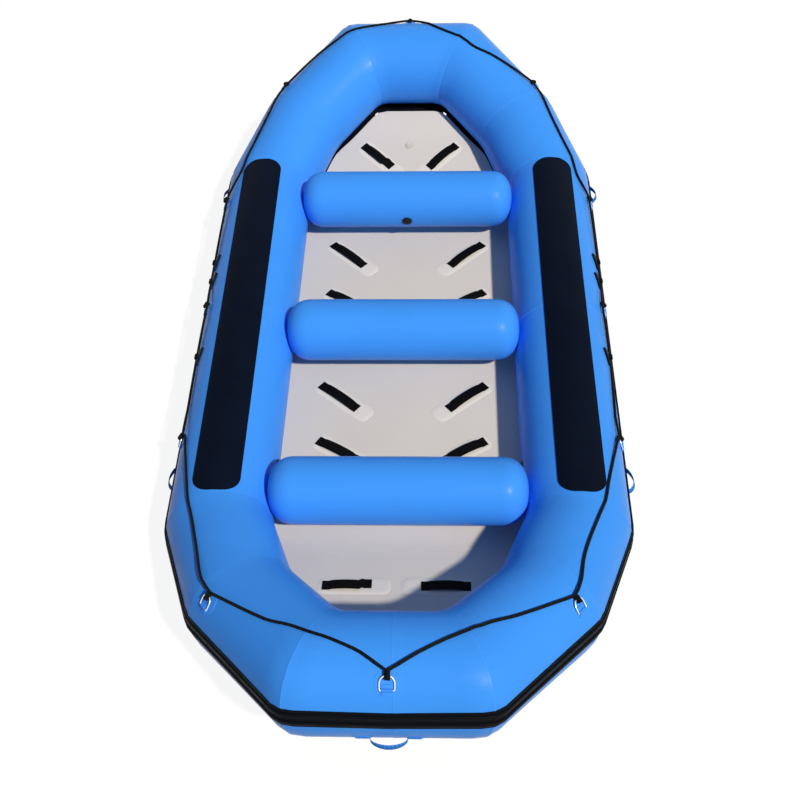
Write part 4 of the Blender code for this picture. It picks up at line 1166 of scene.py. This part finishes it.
class RAFT_OT_strake(bpy.types.Operator):
    """The ribbed rubbing strake round the whole outside"""

    bl_idname = "raft.strake"
    bl_label = "Rubbing strake"

    def execute(self, context):
        bm = fresh_bmesh()
        around = bm.verts.layers.float["around"]
        profile = strake_profile()
        points = []
        for distance, height in profile:
            angle, radius = distance / TUBE_RADIUS, TUBE_RADIUS + height
            points.append((radius * math.cos(angle), radius * math.sin(angle), 0))
        verts, loop = draw_line(bm, points, closed=True)
        for v, (distance, _) in zip(verts, profile):
            v[around] = distance
        marks = stations(0.0, WHOLE, longest=0.06)[:-1]
        frames = [ring_matrix(at) @ Matrix.Rotation(strake_angle(at), 4, "Z") for at in marks]
        sweep(bm, loop, frames, marks, closed=True)
        write_uv(bm, length=WHOLE)
        as_piece("rubbing_strake_rubber", bm, "rubber", nodes=("rubbing_strake",))
        return {"FINISHED"}


WEAR_LENGTH = 2.215
WEAR_WIDTH = 0.208
WEAR_CORNER = 0.078
WEAR_ANGLE = math.radians(88)
WEAR_HEIGHT = 0.0012  # of its underside over the skin
WEAR_LEAN = {"right": 0.0, "left": -0.010}  # how far each patch was welded askew, per metre


class RAFT_OT_wear_patches(bpy.types.Operator):
    """The long anti-slip patches on top of the side tubes"""

    bl_idname = "raft.wear_patches"
    bl_label = "Wear patches"

    def execute(self, context):
        for name, side in (("right", 1), ("left", -1)):
            bm = flat_pad(
                WEAR_LENGTH, WEAR_WIDTH, corner=WEAR_CORNER, thickness=0.0028, edge=0.0008,
                steps=16,
            )
            cut_evenly(bm, 1, -WEAR_WIDTH / 2, WEAR_WIDTH / 2, parts=16)
            flat_uv(bm)
            # the side tube is straight here, so that the outline stays as it was cut
            for v in bm.verts:
                x, y, z = v.co
                turn = WEAR_ANGLE + side * (y - WEAR_LEAN[name] * x) / TUBE_RADIUS
                out = TUBE_RADIUS + z + WEAR_HEIGHT
                across = side * (SIDE_X + out * math.cos(turn))
                v.co = Vector((across, x, TUBE_RADIUS + out * math.sin(turn)))
            as_piece(f"wear_patch_{name}_fabric", bm, "wear", nodes=(f"wear_patch_{name}",))
        return {"FINISHED"}


# D-rings

RING_WIDTH = 0.054
RING_HEIGHT = 0.052
RING_CORNER = 0.006
WIRE_RADIUS = 0.003
BAR_HEIGHT = 0.0012 + 0.0025 + WIRE_RADIUS  # over the patch and the tab's lower layer
SIDE_RING_ANGLE = math.radians(19.5)
CORNER_RING_ANGLE = math.radians(42)
END_RING_ANGLE = math.radians(48)
CORNER_RING_PAST = 0.080  # from the middle bend to the corner rings
RING_PATCH_RADIUS = 0.048
RING_PATCH_MIDDLE = 0.028  # how far its middle is up from the bar
RING_PATCH_THICKNESS = 0.0014
RING_PATCH_TOP = 0.985  # its upper face's share of its radius
RING_PATCH_SUNK = 0.0002  # into the skin
TAB_WIDTH = 0.042
TAB_THICKNESS = 0.0022
TAB_GAP = 0.0004  # between the bar and the fabric that is folded over it
TAB_FEET = ((0.020, 0.0013), (0.012, 0.0013), (0.006, 0.0022))


def ring_places():
    """Each D-ring's name, place along the ring and angle of its bar."""
    places = []
    for side, right in SIDES:
        for name, share in (("front", 0.770), ("middle", 0.073), ("rear", -0.648)):
            at = side_place(share, right, SIDE_RING_ANGLE)
            places.append((f"d_ring_{side}_{name}", at, SIDE_RING_ANGLE))
        for name, bow in ENDS:
            at = place_along(MIDDLE_BEND + CORNER_RING_PAST, right, bow)
            places.append((f"d_ring_{side}_{name}_corner", at, CORNER_RING_ANGLE))
    places.append(("d_ring_bow", QUARTER, END_RING_ANGLE))
    places.append(("d_ring_stern", 3 * QUARTER, END_RING_ANGLE))
    return places


def ring_line():
    """The wire's line: a straight bar, two bent corners and a round bow."""
    half = RING_WIDTH / 2
    side = half - RING_CORNER
    points = arc(side, RING_CORNER, RING_CORNER, 3, 4, 6)
    points += arc(0, RING_HEIGHT - half, half, 0, 2, 24)
    points += arc(-side, RING_CORNER, RING_CORNER, 2, 3, 6)
    return [Vector((x, y, 0)) for x, y in points]


def line_frames(points, closed=False):
    """Frames along a line of points: Z runs along it, and X turns as little as it can."""
    count = len(points)
    frames = []
    x_axis = None
    for i, point in enumerate(points):
        before = points[i - 1] if i or closed else point
        after = points[(i + 1) % count] if i < count - 1 or closed else point
        run = (after - before).normalized()
        if x_axis is None:
            x_axis = run.cross(UP) if run.cross(UP).length > 1e-4 else run.orthogonal()
        x_axis = (x_axis - run * x_axis.dot(run)).normalized()
        frames.append(matrix_of(x_axis, run.cross(x_axis), run, point))
    return frames


def tube_along(points, radius, sides, closed=False):
    """A round bar or cord along a line of points."""
    bm = fresh_bmesh()
    distances = [0.0]
    for a, b in zip(points, points[1:]):
        distances.append(distances[-1] + (b - a).length)
    frames = line_frames(points, closed)
    sweep(bm, round_loop(bm, radius, sides), frames, distances, closed=closed)
    length = distances[-1] + (points[0] - points[-1]).length if closed else 0
    write_uv(bm, turn=2 * math.pi * radius, length=length)
    return bm


def round_patch():
    """A ring's flat round patch, cut so that it bends onto the tube."""
    radius, low = RING_PATCH_RADIUS, RING_PATCH_MIDDLE - RING_PATCH_RADIUS
    patch = fresh_bmesh()
    bmesh.ops.create_circle(patch, cap_ends=True, radius=radius, segments=48)
    top = only_verts(bmesh.ops.extrude_face_region(patch, geom=patch.faces[:])["geom"])
    bmesh.ops.translate(patch, verts=top, vec=(0, 0, RING_PATCH_THICKNESS))
    bmesh.ops.scale(patch, verts=top, vec=(RING_PATCH_TOP, RING_PATCH_TOP, 1))
    bmesh.ops.recalc_face_normals(patch, faces=patch.faces)
    shift(patch, y=RING_PATCH_MIDDLE, z=-RING_PATCH_SUNK)
    cut_evenly(patch, 1, low, low + 2 * radius, parts=10)
    cut_evenly(patch, 0, -radius, radius, parts=6)
    flat_uv(patch)
    return patch


def strip_over_bar(feet, radius, height, steps, width, thickness):
    """A strip laid up round the tube over a bar or cord: a foot, a half round and
    the other foot. The feet are places from the middle and heights, the outer first."""
    line = [(-up, out) for up, out in feet] + arc(0, height, radius, 2, 0, steps) + [*feet[::-1]]
    bm = fresh_bmesh()
    frames = []
    for i, (up, out) in enumerate(line):
        before, after = neighbours(line, i)
        run = Vector((0, after[0] - before[0], after[1] - before[1])).normalized()
        over = Vector((0, -run.z, run.y))
        frames.append(matrix_of(ACROSS, over, ACROSS.cross(over), Vector((0, up, out))))
    distances = [i * 0.003 for i in range(len(frames))]
    sweep(bm, webbing_loop(bm, width, thickness), frames, distances)
    write_uv(bm)
    return bm


class RAFT_OT_rings(bpy.types.Operator):
    """The D-rings, each with its tab and its round welded patch"""

    bl_idname = "raft.rings"
    bl_label = "D-rings"

    def execute(self, context):
        lift = Matrix.Translation((0, 0, BAR_HEIGHT))
        for name, along, angle in ring_places():
            bar = on_joint(name, seat(along, angle) @ lift, 0)
            wire = put(tube_along(ring_line(), WIRE_RADIUS, sides=14, closed=True), bar)
            as_piece(f"{name}_wire", wire, "steel", body=name, nodes=(name,))
            patch = lay_on_skin(round_patch(), along, angle)
            as_piece(name.replace("d_ring", "ring_patch"), patch, "tube")
            # one strip of the fabric folded over the bar, both ends welded down
            tab = strip_over_bar(
                TAB_FEET, WIRE_RADIUS + TAB_GAP, BAR_HEIGHT, steps=10, width=TAB_WIDTH,
                thickness=TAB_THICKNESS,
            )
            put(tab, bar @ lift.inverted())
            as_piece(name.replace("d_ring", "ring_tab"), tab, "tube")
        return {"FINISHED"}


# Grab line

# shares of each quarter's length, and degrees round the tube
LINE_ROUTE = {
    ("right", "bow"): (
        (0.417, 53), (0.500, 59), (0.609, 60), (0.788, 81), (0.845, 99), (0.898, 101), (0.945, 87),
        (0.974, 69),
    ),
    ("left", "bow"): (
        (0.440, 57), (0.499, 60), (0.609, 59), (0.780, 59), (0.824, 71), (0.870, 82), (0.901, 85),
        (0.956, 74),
    ),
    ("right", "stern"): (
        (0.255, 34), (0.381, 51), (0.456, 63), (0.531, 68), (0.634, 69), (0.802, 82), (0.855, 96),
        (0.890, 100), (0.953, 84),
    ),
    ("left", "stern"): (
        (0.235, 31), (0.308, 38), (0.406, 54), (0.482, 63), (0.592, 62), (0.812, 80), (0.883, 97),
        (0.959, 83),
    ),
}
LINE_GAP = 0.0018  # between the line and the skin
LINE_STEP = 0.030
KNOT_HEIGHT = 0.0165  # of the line's middle over the skin where it passes the turns
KNOT_UP = 0.0156  # and how far it passes over the middle of the turns, up the tube
GUIDES = {"front": 0.358, "middle": 0.238, "rear": -0.211}
GUIDE_ANGLE = math.radians(27)
GUIDE_REACH = 0.018  # the line lies straight this far to each side of a guide
HITCH_UP = 0.0495  # from a ring's bar to the middle of the turns on it
HITCH_TURNS = 5
HITCH_STEPS = 16
HITCH_RADIUS = 0.0085
HITCH_HEIGHT = 0.0155
HITCH_CORD = 0.0034
HITCH_START, HITCH_RUN = -0.014, 0.030


def guide_places():
    """Each line guide's name, place along the ring and the way to the bow, 1 or -1."""
    return [
        (f"line_guide_{side}_{name}", side_place(share, right, GUIDE_ANGLE), 1 if right else -1)
        for side, right in SIDES
        for name, share in GUIDES.items()
    ]


def hitch_seat(along, angle):
    """A frame on the skin under a ring's bow, up round the tube from its bar."""
    down = Matrix.Translation((0, 0, -TUBE_RADIUS))
    up = Matrix.Rotation(-HITCH_UP / TUBE_RADIUS, 4, "X")
    return seat(along, angle) @ down @ up @ down.inverted()


def line_places():
    """The line's chosen places from ring to ring: along, angle and height over the skin."""
    low = sizes().rope_diameter / 2 + LINE_GAP
    knots = sorted(
        (along % WHOLE, angle + (HITCH_UP + KNOT_UP) / TUBE_RADIUS, KNOT_HEIGHT)
        for _, along, angle in ring_places()
    )
    free = []
    for (side, end), shares in LINE_ROUTE.items():
        for share, angle in shares:
            at = place_along(share * QUARTER, side == "right", end == "bow")
            free.append((at, math.radians(angle)))
    for _, at, _ in guide_places():
        free += [(at - GUIDE_REACH, GUIDE_ANGLE), (at + GUIDE_REACH, GUIDE_ANGLE)]
    spans = []
    for start, end in zip(knots, knots[1:] + knots[:1]):
        run = (end[0] - start[0]) % WHOLE
        between = sorted(((at % WHOLE - start[0]) % WHOLE, angle) for at, angle in free)
        between = [(start[0] + at, angle, low) for at, angle in between if at < run]
        spans.append([start] + between + [(start[0] + run, end[1], end[2])])
    return spans


def line_points():
    """The line's points all round the boat, close together, over the skin. It
    runs straight away from each knot, and bends smoothly in between."""
    points = []
    for span in line_places():
        slopes = []
        for i in range(len(span)):
            before, after = neighbours(span, i)
            slopes.append((after[1] - before[1]) / (after[0] - before[0]))
        for i, (here, there) in enumerate(zip(span, span[1:])):
            run = there[0] - here[0]
            steps = max(1, math.ceil(run / LINE_STEP))
            for k in range(steps):
                t = k / steps
                bent = (
                    (2 * t**3 - 3 * t**2 + 1) * here[1] + (t**3 - 2 * t**2 + t) * slopes[i] * run
                    + (3 * t**2 - 2 * t**3) * there[1] + (t**3 - t**2) * slopes[i + 1] * run
                )
                height = here[2] + (there[2] - here[2]) * t
                points.append(ring_point(here[0] + run * t, bent, height))
    return points


class RAFT_OT_grab_line(bpy.types.Operator):
    """The braided grab line, and the turns that tie it to each D-ring"""

    bl_idname = "raft.grab_line"
    bl_label = "Grab line"

    def execute(self, context):
        radius = sizes().rope_diameter / 2
        bm = tube_along(line_points(), radius, sides=14, closed=True)
        as_piece("grab_line_rope", bm, "rope", nodes=("grab_line",))
        count = HITCH_TURNS * HITCH_STEPS
        coil = [
            Vector((x, HITCH_START + HITCH_RUN * i / count, z)) for i, (x, z)
            in enumerate(arc(0, HITCH_HEIGHT, HITCH_RADIUS, 0, 4 * HITCH_TURNS, count))
        ]
        turns = []
        for _, along, angle in ring_places():
            place = hitch_seat(along, angle)
            turns.append(tube_along([place @ point for point in coil], HITCH_CORD, sides=10))
        as_piece("grab_line_turns", join_bmeshes(turns), "rope")
        return {"FINISHED"}


ARCH_RADIUS = 0.0078
ARCH_FEET = ((0.022, 0.0), (0.012, 0.0), (0.0085, 0.002))
ARCH_WIDTH = 0.026
ARCH_THICKNESS = 0.0044
LEAF_LENGTH = 0.084
LEAF_WIDTH = 0.050
LEAF_TIP = 0.22  # its narrow end's share of the width
LEAF_FLARE = 0.85  # and how much wider its bow end is
LEAF_UP = 0.002  # from the line's middle up to its lower edge
LEAF_BACK = 0.016  # how far it is set away from the bow
GUIDE_LIFT = 0.0004  # of its underside over the skin


def guide_leaf(bow):
    """A guide's tail: a soft leaf beside the line, widest at its bow end."""
    leaf = flat_pad(LEAF_LENGTH, LEAF_WIDTH, corner=0.0110, thickness=0.0085, edge=0.0026)
    cut_evenly(leaf, 0, -LEAF_LENGTH / 2, LEAF_LENGTH / 2, parts=8)
    cut_evenly(leaf, 1, -LEAF_WIDTH / 2, LEAF_WIDTH / 2, parts=6)
    for v in leaf.verts:
        wide = LEAF_TIP + LEAF_FLARE * (v.co.x / LEAF_LENGTH + 0.5)
        v.co.y = LEAF_UP + (v.co.y + LEAF_WIDTH / 2) * wide
        v.co.x = bow * (v.co.x - LEAF_BACK)
        v.co.z += GUIDE_LIFT
    flat_uv(leaf)
    return leaf


class RAFT_OT_guides(bpy.types.Operator):
    """The rubber guides that hold the line to the side tubes, with their leaf-shaped tails"""

    bl_idname = "raft.guides"
    bl_label = "Line guides"

    def execute(self, context):
        for name, along, bow in guide_places():
            arch = strip_over_bar(
                ARCH_FEET, ARCH_RADIUS, ARCH_RADIUS, steps=12, width=ARCH_WIDTH,
                thickness=ARCH_THICKNESS,
            )
            put(shift(arch, z=GUIDE_LIFT), seat(along, GUIDE_ANGLE))
            leaf = lay_on_skin(guide_leaf(bow), along, GUIDE_ANGLE)
            as_piece(f"{name}_rubber", join_bmeshes([arch, leaf]), "rubber", nodes=(name,))
        return {"FINISHED"}


# Handles

HANDLE_SPAN = 0.135
HANDLE_FOOT = 0.050
HANDLE_WIDTH = 0.025
HANDLE_THICKNESS = 0.003
HANDLE_HEIGHT = 0.0016  # of a foot's underside over the skin
HANDLE_TURN = math.radians(32)
SIDE_HANDLE_ANGLE, SIDE_HANDLE_RISE = math.radians(-12), 0.055
END_HANDLE_ANGLE, END_HANDLE_RISE = math.radians(-20), 0.032
FOOT_LENGTH = 0.062
FOOT_WIDTH = 0.052
FOOT_PLACE = 0.096  # from a handle's middle to the middle of a foot's patch


def handle_places():
    """Each handle's name, place along the ring, angle and rise."""
    places = [
        ("handle_bow", QUARTER, END_HANDLE_ANGLE, END_HANDLE_RISE),
        ("handle_stern", 3 * QUARTER, END_HANDLE_ANGLE, END_HANDLE_RISE),
    ]
    for side, right in SIDES:
        for name, share in (("front", 0.985), ("rear", -0.730)):
            at = side_place(share, right, SIDE_HANDLE_ANGLE)
            places.append((f"handle_{side}_{name}", at, SIDE_HANDLE_ANGLE, SIDE_HANDLE_RISE))
    return places


def handle_twist(x):
    """The free part hangs turned, so that its flat side looks up."""
    return -HANDLE_TURN * math.cos(math.pi * min(abs(x) / HANDLE_SPAN, 0.5)) ** 0.6


def handle_feet():
    """The two patches that a handle is sewn to, as they lie flat."""
    feet = []
    for sign in (-1, 1):
        middle = sign * FOOT_PLACE
        foot = flat_pad(FOOT_LENGTH, FOOT_WIDTH, corner=0.014, thickness=0.0014, edge=0.0004)
        shift(foot, x=middle)
        cut_evenly(foot, 1, -FOOT_WIDTH / 2, FOOT_WIDTH / 2, parts=6)
        cut_evenly(foot, 0, middle - FOOT_LENGTH / 2, middle + FOOT_LENGTH / 2, parts=6)
        flat_uv(foot)
        feet.append(foot)
    return join_bmeshes(feet)


class RAFT_OT_handles(bpy.types.Operator):
    """The webbing carry handles round the outside, with their welded feet"""

    bl_idname = "raft.handles"
    bl_label = "Carry handles"

    def execute(self, context):
        for name, along, angle, rise in handle_places():
            line = arch_line(HANDLE_SPAN, HANDLE_FOOT, rise, steps=28)
            strap = webbing_along(line, HANDLE_WIDTH, HANDLE_THICKNESS, twist=handle_twist)
            lay_on_skin(shift(strap, z=HANDLE_HEIGHT), along, angle)
            as_piece(f"{name}_webbing", strap, "handle", nodes=(name,))
            feet = lay_on_skin(handle_feet(), along, angle)
            as_piece(name.replace("handle", "handle_patch"), feet, "tube")
        return {"FINISHED"}


# Valves

CHAMBER_VALVE_ANGLE = math.radians(176)
THWART_VALVE_DROP = math.radians(12)
FLOOR_VALVE_Y = 1.335 * SIDE_Y
VALVE_RADIUS = 0.027
VALVE_FLANGE = (
    (0.0, -0.008), (0.0265, -0.008), (0.0272, 0.0012), (0.0268, 0.0034), (0.0255, 0.0046),
    (0.0228, 0.0050), (0.0205, 0.0046), (0.0202, 0.0024), (0.0, 0.0022),
)
VALVE_CAP = (
    (0.0, 0.0026), (0.0188, 0.0026), (0.0194, 0.0034), (0.0194, 0.0070), (0.0186, 0.0082),
    (0.0172, 0.0085), (0.0160, 0.0078), (0.0, 0.0074),
)
CAP_GRIP = (0.030, 0.0062)  # length and width
CAP_RIB = (0.0016, 0.0030)
CAP_RIBS = 16


def facing(x_axis, z_axis, origin):
    """A frame from its X axis, the way that it faces and its origin."""
    return matrix_of(x_axis, z_axis.cross(x_axis), z_axis, origin)


def valve_places():
    """Each valve cap's name and the frame on the skin that it turns in."""
    angle = CHAMBER_VALVE_ANGLE
    places = {}
    for side, right in SIDES:
        for name, share in (("bow", 0.917), ("stern", -0.715)):
            places[f"valve_cap_{name}_{side}"] = seat(side_place(share, right, angle), angle)
    drop = THWART_VALVE_DROP
    for name, y in THWARTS.items():
        out = Vector((0, THWART_FACES[name] * math.cos(drop), -math.sin(drop)))
        origin = Vector((0, y, THWART_Z)) + out * THWART_RADIUS
        places[f"valve_cap_thwart_{name}"] = facing(ACROSS, out, origin)
    low, high = (floor_rise(FLOOR_VALVE_Y + side * VALVE_RADIUS) for side in (-1, 1))
    slope = Vector((0, 2 * VALVE_RADIUS, high - low)).normalized()
    origin = Vector((0, FLOOR_VALVE_Y, (low + high) / 2 + FLOOR_THICKNESS))
    places["valve_cap_floor"] = facing(ACROSS, ACROSS.cross(slope), origin)
    return places


def valve_cap():
    """A cap with a grip across it and small ribs round its rim."""
    grip = flat_pad(*CAP_GRIP, corner=0.0024, thickness=0.0052, edge=0.0012)
    parts = [turned(VALVE_CAP, UP, steps=40), shift(grip, z=0.0072)]
    for i in range(CAP_RIBS):
        rib = flat_pad(*CAP_RIB, corner=0.0005, thickness=0.0042, edge=0.0003, steps=2)
        shift(rib, x=0.0192, z=0.0028)
        parts.append(put(rib, Matrix.Rotation(2 * math.pi * i / CAP_RIBS, 4, "Z")))
    return join_bmeshes(parts)


class RAFT_OT_valves(bpy.types.Operator):
    """The inflation valves: a bonded flange each, and a cap that turns in it"""

    bl_idname = "raft.valves"
    bl_label = "Valves"

    def execute(self, context):
        for name, skin in valve_places().items():
            place = on_joint(name, skin, 2)
            look = "pale_plastic" if name.endswith("floor") else "plastic"
            flange = put(turned(VALVE_FLANGE, UP, steps=40), place)
            as_piece(name.replace("cap", "body"), flange, look)
            as_piece(f"{name}_nylon", put(valve_cap(), place), look, body=name, nodes=(name,))
        return {"FINISHED"}


# Lacing

LACE_HALF = 0.0013  # half the strip's thickness
LACE_GAP = 0.0018  # from the strip's middle to the floor's edge and to the tube
LACE_HEIGHT = 0.40  # up the floor's edge, as a share of the floor's thickness
LACE_ANGLE = math.radians(-118)
# a drain opening: its ends, from the middle of the bow, and its sides, in shares of the strip
DRAIN_ENDS = (0.278, 0.300)
DRAIN_SIDES = (-0.13, 0.11)
LACE_UV = 0.05  # width of the strip in its UV map


def lace_frame(along):
    """From the strip's section, X from its edge at the floor to its edge on the tube."""
    inner, _ = floor_edge(along, floor_inset() - LACE_GAP)
    inner.z = floor_rise(inner.y) + LACE_HEIGHT * FLOOR_THICKNESS
    outer = ring_point(along, LACE_ANGLE, LACE_GAP)
    across = (outer - inner).normalized()
    run = UP.cross(across).normalized()
    up = run.cross(across)
    up = up if up.z > 0 else -up
    return matrix_of(across * (outer - inner).length, up, across.cross(up), (inner + outer) / 2)


def open_drain(bm, first, last):
    """Cuts an opening through the strip, and makes its walls."""
    along, around = bm.verts.layers.float["along"], bm.verts.layers.float["around"]
    near = 0.0001
    gone = [
        f for f in bm.faces
        if all(first - near < v[along] < last + near for v in f.verts)
        and all(abs(v[around]) < LACE_UV / 4 for v in f.verts)
    ]
    rim = {e for f in gone for e in f.edges}
    bmesh.ops.delete(bm, geom=gone, context="FACES_ONLY")
    bmesh.ops.bridge_loops(bm, edges=[e for e in rim if e.is_valid and len(e.link_faces) == 1])


class RAFT_OT_lacing(bpy.types.Operator):
    """The strip under the tubes that the floor is laced to, with its two drain openings"""

    bl_idname = "raft.lacing"
    bl_label = "Lacing strip"

    def execute(self, context):
        bm = fresh_bmesh()
        openings = [sorted(QUARTER + side * end for end in DRAIN_ENDS) for side in (-1, 1)]
        marks = stations(0.0, WHOLE, longest=0.08)[:-1] + openings[0] + openings[1]
        marks.sort()
        around = bm.verts.layers.float["around"]
        across = (-0.5, *DRAIN_SIDES, 0.5)
        points = [(x, -LACE_HALF, 0) for x in across]
        points += [(x, LACE_HALF, 0) for x in reversed(across)]
        verts, loop = draw_line(bm, points, closed=True)
        for v in verts:
            v[around] = v.co.x * LACE_UV
        sweep(bm, loop, [lace_frame(at) for at in marks], marks, closed=True)
        for first, last in openings:
            open_drain(bm, first, last)
        write_uv(bm, length=WHOLE)
        as_piece("lace_strip_rubber", bm, "rubber", nodes=("lace_strip",))
        return {"FINISHED"}


# Stage

FOCAL_PIXELS = 1157.7532  # fitted to the photograph, as are the camera's place and angles
PHOTO_PIXELS = 800
FILM_WIDTH = 36  # in millimetres
CAMERA_PLACE = (0.1865, -3.9514, 4.3248)
CAMERA_YAW, CAMERA_PITCH, CAMERA_ROLL = 0.0552, 0.8588, -0.0398
TO_SUN = Vector((0.426, -0.508, 0.749))
SUN_SPREAD = math.radians(2.5)
SUN_COLOUR = "FFF2E0"
SKY_COLOUR = "C8DCFA"
STUDIO_HALF = 30
PAPER_GLOW = 1.02  # the paper shines a little over white to the camera
PAPER_GLOW_SHARE = 0.88  # and takes the shadow with the rest


def camera_matrix():
    """The camera's place, pitched down, turned a little and rolled a little."""
    yaw, pitch, roll = CAMERA_YAW, CAMERA_PITCH, CAMERA_ROLL
    level = math.cos(pitch)
    ahead = Vector((-math.sin(yaw) * level, math.cos(yaw) * level, -math.sin(pitch)))
    right = Vector((math.cos(yaw), math.sin(yaw), 0))
    up = right.cross(ahead)
    turned_right = math.cos(roll) * right + math.sin(roll) * up
    turned_up = -math.sin(roll) * right + math.cos(roll) * up
    return matrix_of(turned_right, turned_up, -ahead, CAMERA_PLACE)


def seen_rays(tree):
    """1 for rays from the camera and those that glossy and clear surfaces send on."""
    rays = add_node(tree, "ShaderNodeLightPath")
    total = rays.outputs["Is Camera Ray"]
    for name in ("Is Glossy Ray", "Is Transmission Ray"):
        total = add_node(
            tree, "ShaderNodeMath", links={0: total, 1: rays.outputs[name]}, operation="MAXIMUM",
        ).outputs[0]
    return total


def paper(colour):
    """Matt white studio paper. It looks white and still takes the raft's shadow."""
    made, tree, shader = new_material("studio_paper", colour, roughness=0.9)
    fibres = add_node(tree, "ShaderNodeTexNoise", {"Scale": 300.0})
    skin = add_node(
        tree, "ShaderNodeBump", {"Strength": 0.05}, {"Height": fibres.outputs["Fac"]},
    )
    tree.links.new(skin.outputs[0], shader.inputs["Normal"])
    # the light that it sends back on the raft is that of a darker sheet
    seen = seen_rays(tree)
    shade = add_node(
        tree, "ShaderNodeMix", {6: (*colours().bounce, 1), 7: (*colour, 1)}, {0: seen},
        data_type="RGBA",
    )
    tree.links.new(shade.outputs[2], shader.inputs["Base Color"])
    glow = add_node(tree, "ShaderNodeEmission", {"Color": (*colour, 1), "Strength": PAPER_GLOW})
    half = add_node(tree, "ShaderNodeMath", {1: PAPER_GLOW_SHARE}, {0: seen}, operation="MULTIPLY")
    both = add_node(
        tree, "ShaderNodeMixShader",
        links={0: half.outputs[0], 1: shader.outputs[0], 2: glow.outputs[0]},
    )
    tree.links.new(both.outputs[0], tree.nodes["Material Output"].inputs["Surface"])
    return made


class RAFT_OT_stage(bpy.types.Operator):
    """The studio floor, the lights and the camera at the photograph's angle"""

    bl_idname = "raft.stage"
    bl_label = "Stage"

    def execute(self, context):
        scene = context.scene
        scene.view_settings.view_transform = "Standard"

        bm = bmesh.new()
        bmesh.ops.create_grid(bm, x_segments=1, y_segments=1, size=STUDIO_HALF)
        mesh = bpy.data.meshes.new("studio_floor")
        bm.to_mesh(mesh)
        bm.free()
        ground = bpy.data.objects.new("studio_floor", mesh)
        scene.collection.objects.link(ground)
        mesh.materials.append(paper(colours().backdrop))

        world = bpy.data.worlds.new("studio")
        scene.world = world
        world.use_nodes = True
        tree = world.node_tree
        tree.nodes.clear()
        seen = seen_rays(tree)
        sky = add_node(
            tree, "ShaderNodeBackground",
            {"Color": (*linear(SKY_COLOUR), 1), "Strength": sizes().fill_strength},
        )
        white = add_node(
            tree, "ShaderNodeBackground", {"Color": (1, 1, 1, 1), "Strength": 1.0},
        )
        both = add_node(
            tree, "ShaderNodeMixShader", links={0: seen, 1: sky.outputs[0], 2: white.outputs[0]},
        )
        add_node(tree, "ShaderNodeOutputWorld", links={0: both.outputs[0]})

        lamp = bpy.data.lights.new("key", "SUN")
        lamp.energy = sizes().key_strength
        lamp.color = linear(SUN_COLOUR)
        lamp.angle = SUN_SPREAD
        key = bpy.data.objects.new("key", lamp)
        key.rotation_mode = "QUATERNION"
        key.rotation_quaternion = TO_SUN.to_track_quat("Z", "Y")
        scene.collection.objects.link(key)

        data = bpy.data.cameras.new("camera")
        data.lens = FOCAL_PIXELS / PHOTO_PIXELS * FILM_WIDTH
        data.clip_start, data.clip_end = 0.05, 100
        camera = bpy.data.objects.new("camera", data)
        camera.matrix_world = camera_matrix()
        scene.collection.objects.link(camera)
        scene.camera = camera
        return {"FINISHED"}


# Panel

OPERATORS = (
    RAFT_OT_stage, RAFT_OT_tubes, RAFT_OT_seams, RAFT_OT_thwarts, RAFT_OT_floor,
    RAFT_OT_foot_straps, RAFT_OT_strake, RAFT_OT_wear_patches, RAFT_OT_rings,
    RAFT_OT_grab_line, RAFT_OT_guides, RAFT_OT_handles, RAFT_OT_valves, RAFT_OT_lacing,
)


class RAFT_PT_panel(bpy.types.Panel):
    """The raft's pieces, and the sizes and colours that they use"""

    bl_idname = "RAFT_PT_panel"
    bl_label = "River raft"
    bl_space_type = "VIEW_3D"
    bl_region_type = "UI"
    bl_category = "Raft"

    def draw(self, context):
        for group in (context.scene.raft_sizes, context.scene.raft_colours):
            box = self.layout.box()
            for name in group.__annotations__:
                box.prop(group, name)
        for operator in OPERATORS:
            self.layout.operator(operator.bl_idname)


CLASSES = (RaftColours, RaftSizes, *OPERATORS, RAFT_PT_panel)


def register():
    for cls in CLASSES:
        bpy.utils.register_class(cls)
    bpy.types.Scene.raft_colours = PointerProperty(type=RaftColours)
    bpy.types.Scene.raft_sizes = PointerProperty(type=RaftSizes)


def unregister():
    del bpy.types.Scene.raft_sizes
    del bpy.types.Scene.raft_colours
    for cls in reversed(CLASSES):
        bpy.utils.unregister_class(cls)


def main():
    """Makes every piece."""
    register()
    for operator in OPERATORS:
        group, name = operator.bl_idname.split(".")
        getattr(getattr(bpy.ops, group), name)()


if __name__ == "__main__":
    main()
